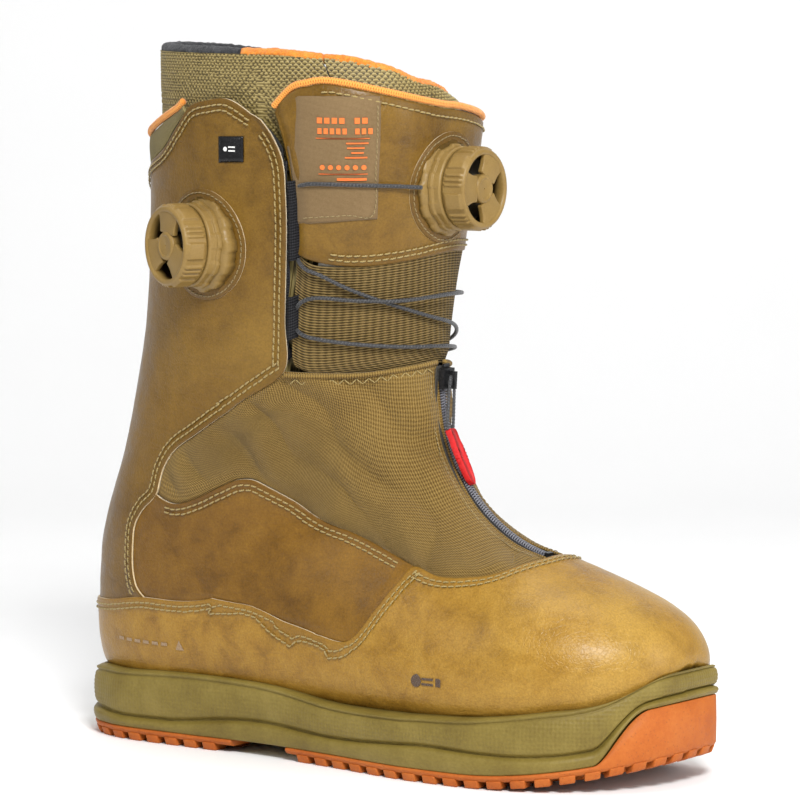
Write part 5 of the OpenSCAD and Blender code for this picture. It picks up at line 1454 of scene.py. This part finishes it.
def make_dial(label, v0, a0, axis, knob_turn):
    p0 = skin0(v0, a0)
    origin = p0 + 2.5 * axis
    tilt, swing = math.acos(axis[2]), math.atan2(axis[1], axis[0])
    m = (np.array([[math.cos(swing), -math.sin(swing), 0], [math.sin(swing), math.cos(swing), 0],
                   [0, 0, 1]]) @ turn_y(math.degrees(tilt)))

    def frame_of(p):
        return origin + np.asarray(p, float) @ m.T
    # Leather ring under the dial, stitched round its edge.
    theta = np.linspace(0, 2 * math.pi, 97)[:-1]
    rr = np.array([13.5, 17, 20, 23.6, 24.0])
    hh = np.array([1.0, 1.0, 1.0, 0.9, 0.5])
    x, y = rr[:, None] * np.cos(theta), rr[:, None] * np.sin(theta)
    v, a = on_skin(v0, a0, x, y)
    h = np.repeat(hh[:, None], len(theta), 1)
    back_h = np.full(h.shape, 0.15)
    holder = "tongue" if label == "front" else "boot"
    shell("dial_ring_" + label, skin(v, a, h), skin(v, a, back_h), holder, LEATHER, wrap=True,
          facts={"edge_mm": np.repeat((24.0 - rr)[:, None], len(theta), 1), "pull_highlight_share": np.zeros(x.shape)},
          slot="shaft_leather")
    v, a = on_skin(v0, a0, 22.3 * np.cos(theta), 22.3 * np.sin(theta))
    line = np.stack([v, a], 1)
    lay_stitches("dial_ring_stitches_" + label, [np.concatenate([line, line[:1]])], holder, "thread_dark",
                 2.6, 2.0, 0.26, 1.05, slot="webbing")
    # Saddle: from the skin up to the flat seat of the base, with a notched skirt.
    rings = []
    fine = np.linspace(0, 2 * math.pi, 193)[:-1]
    notch = 0.5 - 0.5 * np.clip(np.cos(fine * 12) * 3, -1, 1)
    _, right, up, _ = skin_frame(v0, a0)
    for r, z in ((10, None), (20.6, None), (20.6, -1.6), (20.2, -1.2), (19.4, -0.3), (12, -0.1)):
        r_here = r - (0.7 * notch if r > 20 else 0)
        flat = frame_of(np.c_[r_here * np.cos(fine), r_here * np.sin(fine),
                              np.full(fine.shape, -2.5 if z is None else z)])
        v, a = on_skin(v0, a0, (flat - p0) @ right, (flat - p0) @ up)
        low = skin(v, a, 1.02)
        rings.append(low if z is None else flat)
        if z == -1.6:
            rings[-1] = np.where(((flat - low) @ axis)[:, None] > 0.3, flat, low + axis * 0.3)
    ring_solid("dial_saddle_" + label, rings, holder, "dial", slot="dial_plastic",
               hides=(label + "_dial_saddle",))

    def flange(theta, r, z):
        step = 0.5 + 0.5 * np.clip(np.cos(theta * 9 + 0.4) * 5, -1, 1)
        return r - np.where((z < 2.6) & (r > 17.6), 0.8 * step, 0), z
    turned("dial_base_body_" + label, rounded([[2.7, 0.05], [18.9, 0.05], [18.9, 1.9], [18.1, 2.3],
                                               [17.9, 5.2], [17.3, 5.9], [15.7, 5.9], [15.6, 1.55],
                                               [2.7, 1.55]], 0.3),
           216, holder, "dial", frame_of, flange, slot="dial_plastic", hides=(label + "_dial_base",))
    knob_body = label + "_knob"

    def grips(theta, r, z):
        u = (theta + knob_turn) / (2 * math.pi) * 6 % 1
        rise = ease((z - 7.2) / 0.8) * ease((16.2 - z) / 0.9)
        pill = ease((u - 0.05) / 0.035) * ease((0.47 - u) / 0.035)
        rib = sum(ease((u - c + 0.045) / 0.02) * ease((c + 0.045 - u) / 0.02) for c in (0.62, 0.74, 0.86))
        lift = (0.95 * np.clip(pill + rib, 0, 1)) * rise
        return np.where(r > 16.4, r + lift * np.clip((r - 16.4) / 0.5, 0, 1), r), z
    wall = [[15.7, 6.45], [17.0, 6.45], [17.0, 7.2]] + [[17.02, z] for z in np.linspace(7.6, 16.0, 16)] + \
           [[16.95, 16.5], [16.5, 17.1], [15.9, 17.35], [15.2, 17.3], [14.6, 16.9], [14.3, 16.2],
            [14.25, 12.3], [15.6, 12.0]]
    turned("dial_knob_ring_" + label, wall, 432, knob_body, "dial", frame_of, grips, slot="dial_plastic",
           hides=(label + "_dial_knob",))
    hub = rounded([[0.3, 12.6], [6.1, 12.6], [6.3, 16.4], [5.6, 17.2], [4.6, 17.35], [4.2, 16.9],
                   [0.3, 16.75]], 0.3)
    turned("dial_knob_hub_" + label, hub, 72, knob_body, "dial", frame_of, slot="dial_plastic")
    for k in range(3):
        t0 = 2 * math.pi * k / 3 + knob_turn
        out = []
        for sgn in (-1, 1):
            side_pts = []
            for u in np.linspace(0, 1, 9):
                r = 5.2 + 9.6 * u
                w = 5.6 + 3.4 * u ** 2.2
                side_pts.append((r, sgn * w))
            out += side_pts if sgn < 0 else side_pts[::-1]
        c, s = math.cos(t0), math.sin(t0)
        outline = [(x * c - y * s, x * s + y * c) for x, y in out]
        prism("dial_knob_arm_%s_%d" % (label, k), outline, 14.4, 16.75, knob_body, "dial", frame_of, 0.55,
              slot="dial_plastic")


make_dial("front", 13, 0, FRONT_AXIS, 0.5)
make_dial("side", 12.6, 107, SIDE_AXIS, 0.9)

# ---------------------------------------------------------------- zip

arc = np.linspace(ZIP_TOP + 1.2, ZIP_LOW - 1.2, 160)
for side, label in ((1, "lateral"), (-1, "medial")):
    y = np.linspace(0.30, 4.6, 10)
    out = np.stack([on_arc(t, np.stack([0 * y - 0.5 + 0.02 * y, -side * y, 0 * y], 1)) for t in arc])
    inner = np.stack([on_arc(t, np.stack([0 * y - 1.0, -side * y, 0 * y], 1)) for t in arc])
    shell("zip_tape_cloth_" + label, out, inner, "boot", "tape", slot="zip_tape",
          hides=("zip_tape_" + label,))
    turns = 84
    phase = np.linspace(0, 2 * math.pi * turns, turns * (18))
    t = ZIP_TOP + 2 + (ZIP_LOW - ZIP_TOP - 4) * (phase + (math.pi if side < 0
                                                          else 0)) / (2 * math.pi * turns + math.pi)
    coil = np.stack([on_arc(tt, [0.35 + 0.62 * math.sin(ph), -side * (0.95 - 1.05 * math.cos(ph)), 0])
                     for tt, ph in zip(t, phase)])
    tube("zip_coil_" + label, coil, 0.30, "boot", "coil", 7, slot="zip_tape")

MATERIAL_OF = {"heel_cushion": "foam", "shank": "stiffener", "lasting_board": "board",
               "heel_counter": "stiffener", "toe_puff": "stiffener",
               "zip_stops": "black_metal", "zip_slider": "black_metal"}
for label in ("front", "side"):
    MATERIAL_OF.update({label + "_dial_screw": "steel", label + "_dial_spool": "dial_dark",
                        label + "_dial_drive": "dial_dark"})
for node, material in MATERIAL_OF.items():
    piece = bpy.data.objects[node]
    piece.data.materials.clear()
    piece.data.materials.append(M[material])

SLIDER_LOW, SLIDER_T, PULL_L, PULL_LEAN, CORD_SHARE = ZIP_R - 0.8, 2.4, 46.0, 17.5, 0.46
EYE_R = SLIDER_LOW - SLIDER_T - 1.6


def pull_place(p):
    """The pull's frame: origin at the slider's eye, -Z down the boot."""
    p = np.asarray(p, float).copy()
    p[..., 1] += 0.42 * np.clip(p[..., 2], -21, 0) - 0.33 * np.clip(p[..., 2] + 21, -30, 0)
    return on_arc(ZIP_CLOSED, p @ turn_y(-PULL_LEAN).T + [ZIP_R - EYE_R, 0, 0])


u = np.linspace(0, math.pi, 220)
reach = PULL_L * CORD_SHARE
loop = pull_place(np.stack([0 * u, -2.2 * spow(np.cos(u), 0.4), 0.9 * np.sin(u) - reach * (1 - np.sin(u))],
                           1))
pull_cord = tube("zip_pull_braid", loop, 0.72, "zip_pull", "lace", 12, 0.3, 0.09, 1.6, 2, slot="lace",
                 hides=("zip_pull_cord",))
top = -PULL_L * CORD_SHARE
tab = [(-2.1, top - 0.3), (2.1, top - 0.3), (2.35, top - 5), (3.1, top - 8.4), (3.2, top - 12),
       (3.0, top - 15), (2.2, -PULL_L + 3.4),
       (1.3, -PULL_L + 1.2), (0, -PULL_L), (-1.3, -PULL_L + 1.2), (-2.2, -PULL_L + 3.4), (-3.0, top - 15),
       (-3.2, top - 12), (-3.1, top - 8.4), (-2.35, top - 5)]
tab = closed(np.array(tab), 90)
levels = []
for x, shrink in ((-1.55, 0.80), (-1.4, 0.92), (-0.9, 1.0), (0.9, 1.0), (1.4, 0.92), (1.55, 0.80)):
    groove = np.where((tab[:, 1] < top - 8) & (tab[:, 1] > top - 16),
                      0.92 + 0.08 * np.cos(tab[:, 1] * 2 * math.pi / 1.6), 1.0)
    levels.append(pull_place(np.stack([np.full(len(tab), x), tab[:, 0] * shrink * groove,
                                       top - 11 + (tab[:, 1] - top + 11) * (0.97 + 0.03 * shrink)], 1)))
pull_tab = ring_solid("zip_pull_tab_rubber", levels, "zip_pull", "tab", slot="pull_tab",
                      hides=("zip_pull_tab",))

# ---------------------------------------------------------------- badges, label and generic marks

v, t = mesh_grid(np.linspace(12.72, 14.12, int(66 / SIZE)), np.linspace(0, 1, int(50 / SIZE)))
label_edge = np.interp(v, [12.72, 13, 13.5, 14.12], [73.4, 75.5, 80, 80])
a = 36.5 + t * (label_edge - 36.5)
d = np.minimum.reduce(border_distances(skin0(v, a)))
h = 0.95 + 0.35 * ground(skin0(v, a), 16,
                         51) - 0.5 * ease(1 - d / 0.9) - 2.1 * ease((a - label_edge + 7) / 7)
strip("tongue_label", v, a, h, 0.55, "tongue", "patch", slot="patch", hides=("tongue_patch",))
border = [[12.78, 70], [12.78, 51], [12.78, 38.6], [13.3, 38.4], [14.0, 38.2]]
lay_stitches("label_stitches", [border], "tongue", "thread_dark", 2.3, 1.8, 0.24, 1.05, slot="patch")
line_marks = [bar(-9 + 3.1 * k, 14, 2.1, 2.4) for k in range(7)
              if k != 4] + [bar(-9 + 2.6 * k, 9.6, 1.7, 2.4) for k in range(9) if k != 5]
line_marks += [bar(0.5, 6.6, 22, 0.35)] + [bar(6.5 - 0.6 * (k % 2), 4.6 - 2.0 * k, 9 - 2 * (k % 3), 0.6)
                                           for k in range(4)]
line_marks += [disc(-8 + 3.4 * k, -5.6, 1.05) for k in range(6)] + [bar(0.5, -8.4, 20, 0.35),
                                                                    bar(4, -10.6, 12, 1.1), bar(0.5, -13,
                                                                                                20, 0.35)]
marks("label_print_marks", 13.42, 55, line_marks, 1.45, "tongue", "print", 0.35, slot="patch")
v, a = mesh_grid(np.linspace(13.36, 13.62, 14), np.linspace(92.5, 101, 18))
far = np.minimum.reduce(border_distances(skin0(v, a)))
strip("cuff_badge_moulding", v, a, 1.05 - 0.4 * ease(1 - far / 0.8), 0.9, "boot", "badge", slot="badge",
      hides=("cuff_badge",))
marks("cuff_badge_mark", 13.49, 96.8, [disc(-2.3, 0, 1.0), bar(1.3, 0.9, 3.6, 0.6),
                                       bar(1.3, -0.7, 3.6, 0.6)], 1.25, "boot", "badge_mark", 0.3,
      slot="badge")
marks("toe_side_mark", 6.31, 91.7, [disc(0, 0, 2.6, 24), bar(6, 1.1, 6, 0.9), bar(6, -1.1, 6, 0.9),
                                    bar(11.6, 0, 2.4, 3.2)], 0.62, "boot", "burnt", 0.25,
      slot="toe_leather")
marks("heel_rand_marks", 9.03, 116, [bar(-15 + 5.5 * k, 0, 3.4, 1.3) for k in range(6)]
      + [[(19, -2), (23.5, -2), (21.2, 2.2)]], 0.62,
      "boot", "pressed", 0.25, slot="toe_leather")

# ---------------------------------------------------------------- floor and backdrop

STUDIO, add, shader, _ = start("studio_paper", 0.85)
tone = noise_of(add, place(add), 3.0, 3)
connect(STUDIO, shader, ramp(add, tone, [(0.3, (0.93, 0.93, 0.93)), (0.7, (0.95, 0.95, 0.95))]), None,
        noise_of(add, place(add), 900, 3), 0.00005, 0.3, add)
mesh = bpy.data.meshes.new("studio_floor")
profile = [(2.2, 0)] + [(-0.9 - 0.6 * math.sin(t), 0.6 - 0.6 * math.cos(t))
                        for t in np.linspace(0, math.pi / 2, 16)] + [(-1.5, 2.6)]
rows = np.linspace(-3.0, 3.0, 13)
points = []
for d, z in profile:
    for w in rows:
        points.append((math.sin(AZIMUTH) * d + math.cos(AZIMUTH) * w,
                       -math.cos(AZIMUTH) * d + math.sin(AZIMUTH) * w, z))
f, c = quads(len(profile), len(rows))
mesh.from_pydata(points, [], f.tolist())
mesh.materials.append(STUDIO)
mesh.polygons.foreach_set("use_smooth", np.full(len(mesh.polygons), True))
floor = bpy.data.objects.new("studio_floor", mesh)
bpy.context.scene.collection.objects.link(floor)
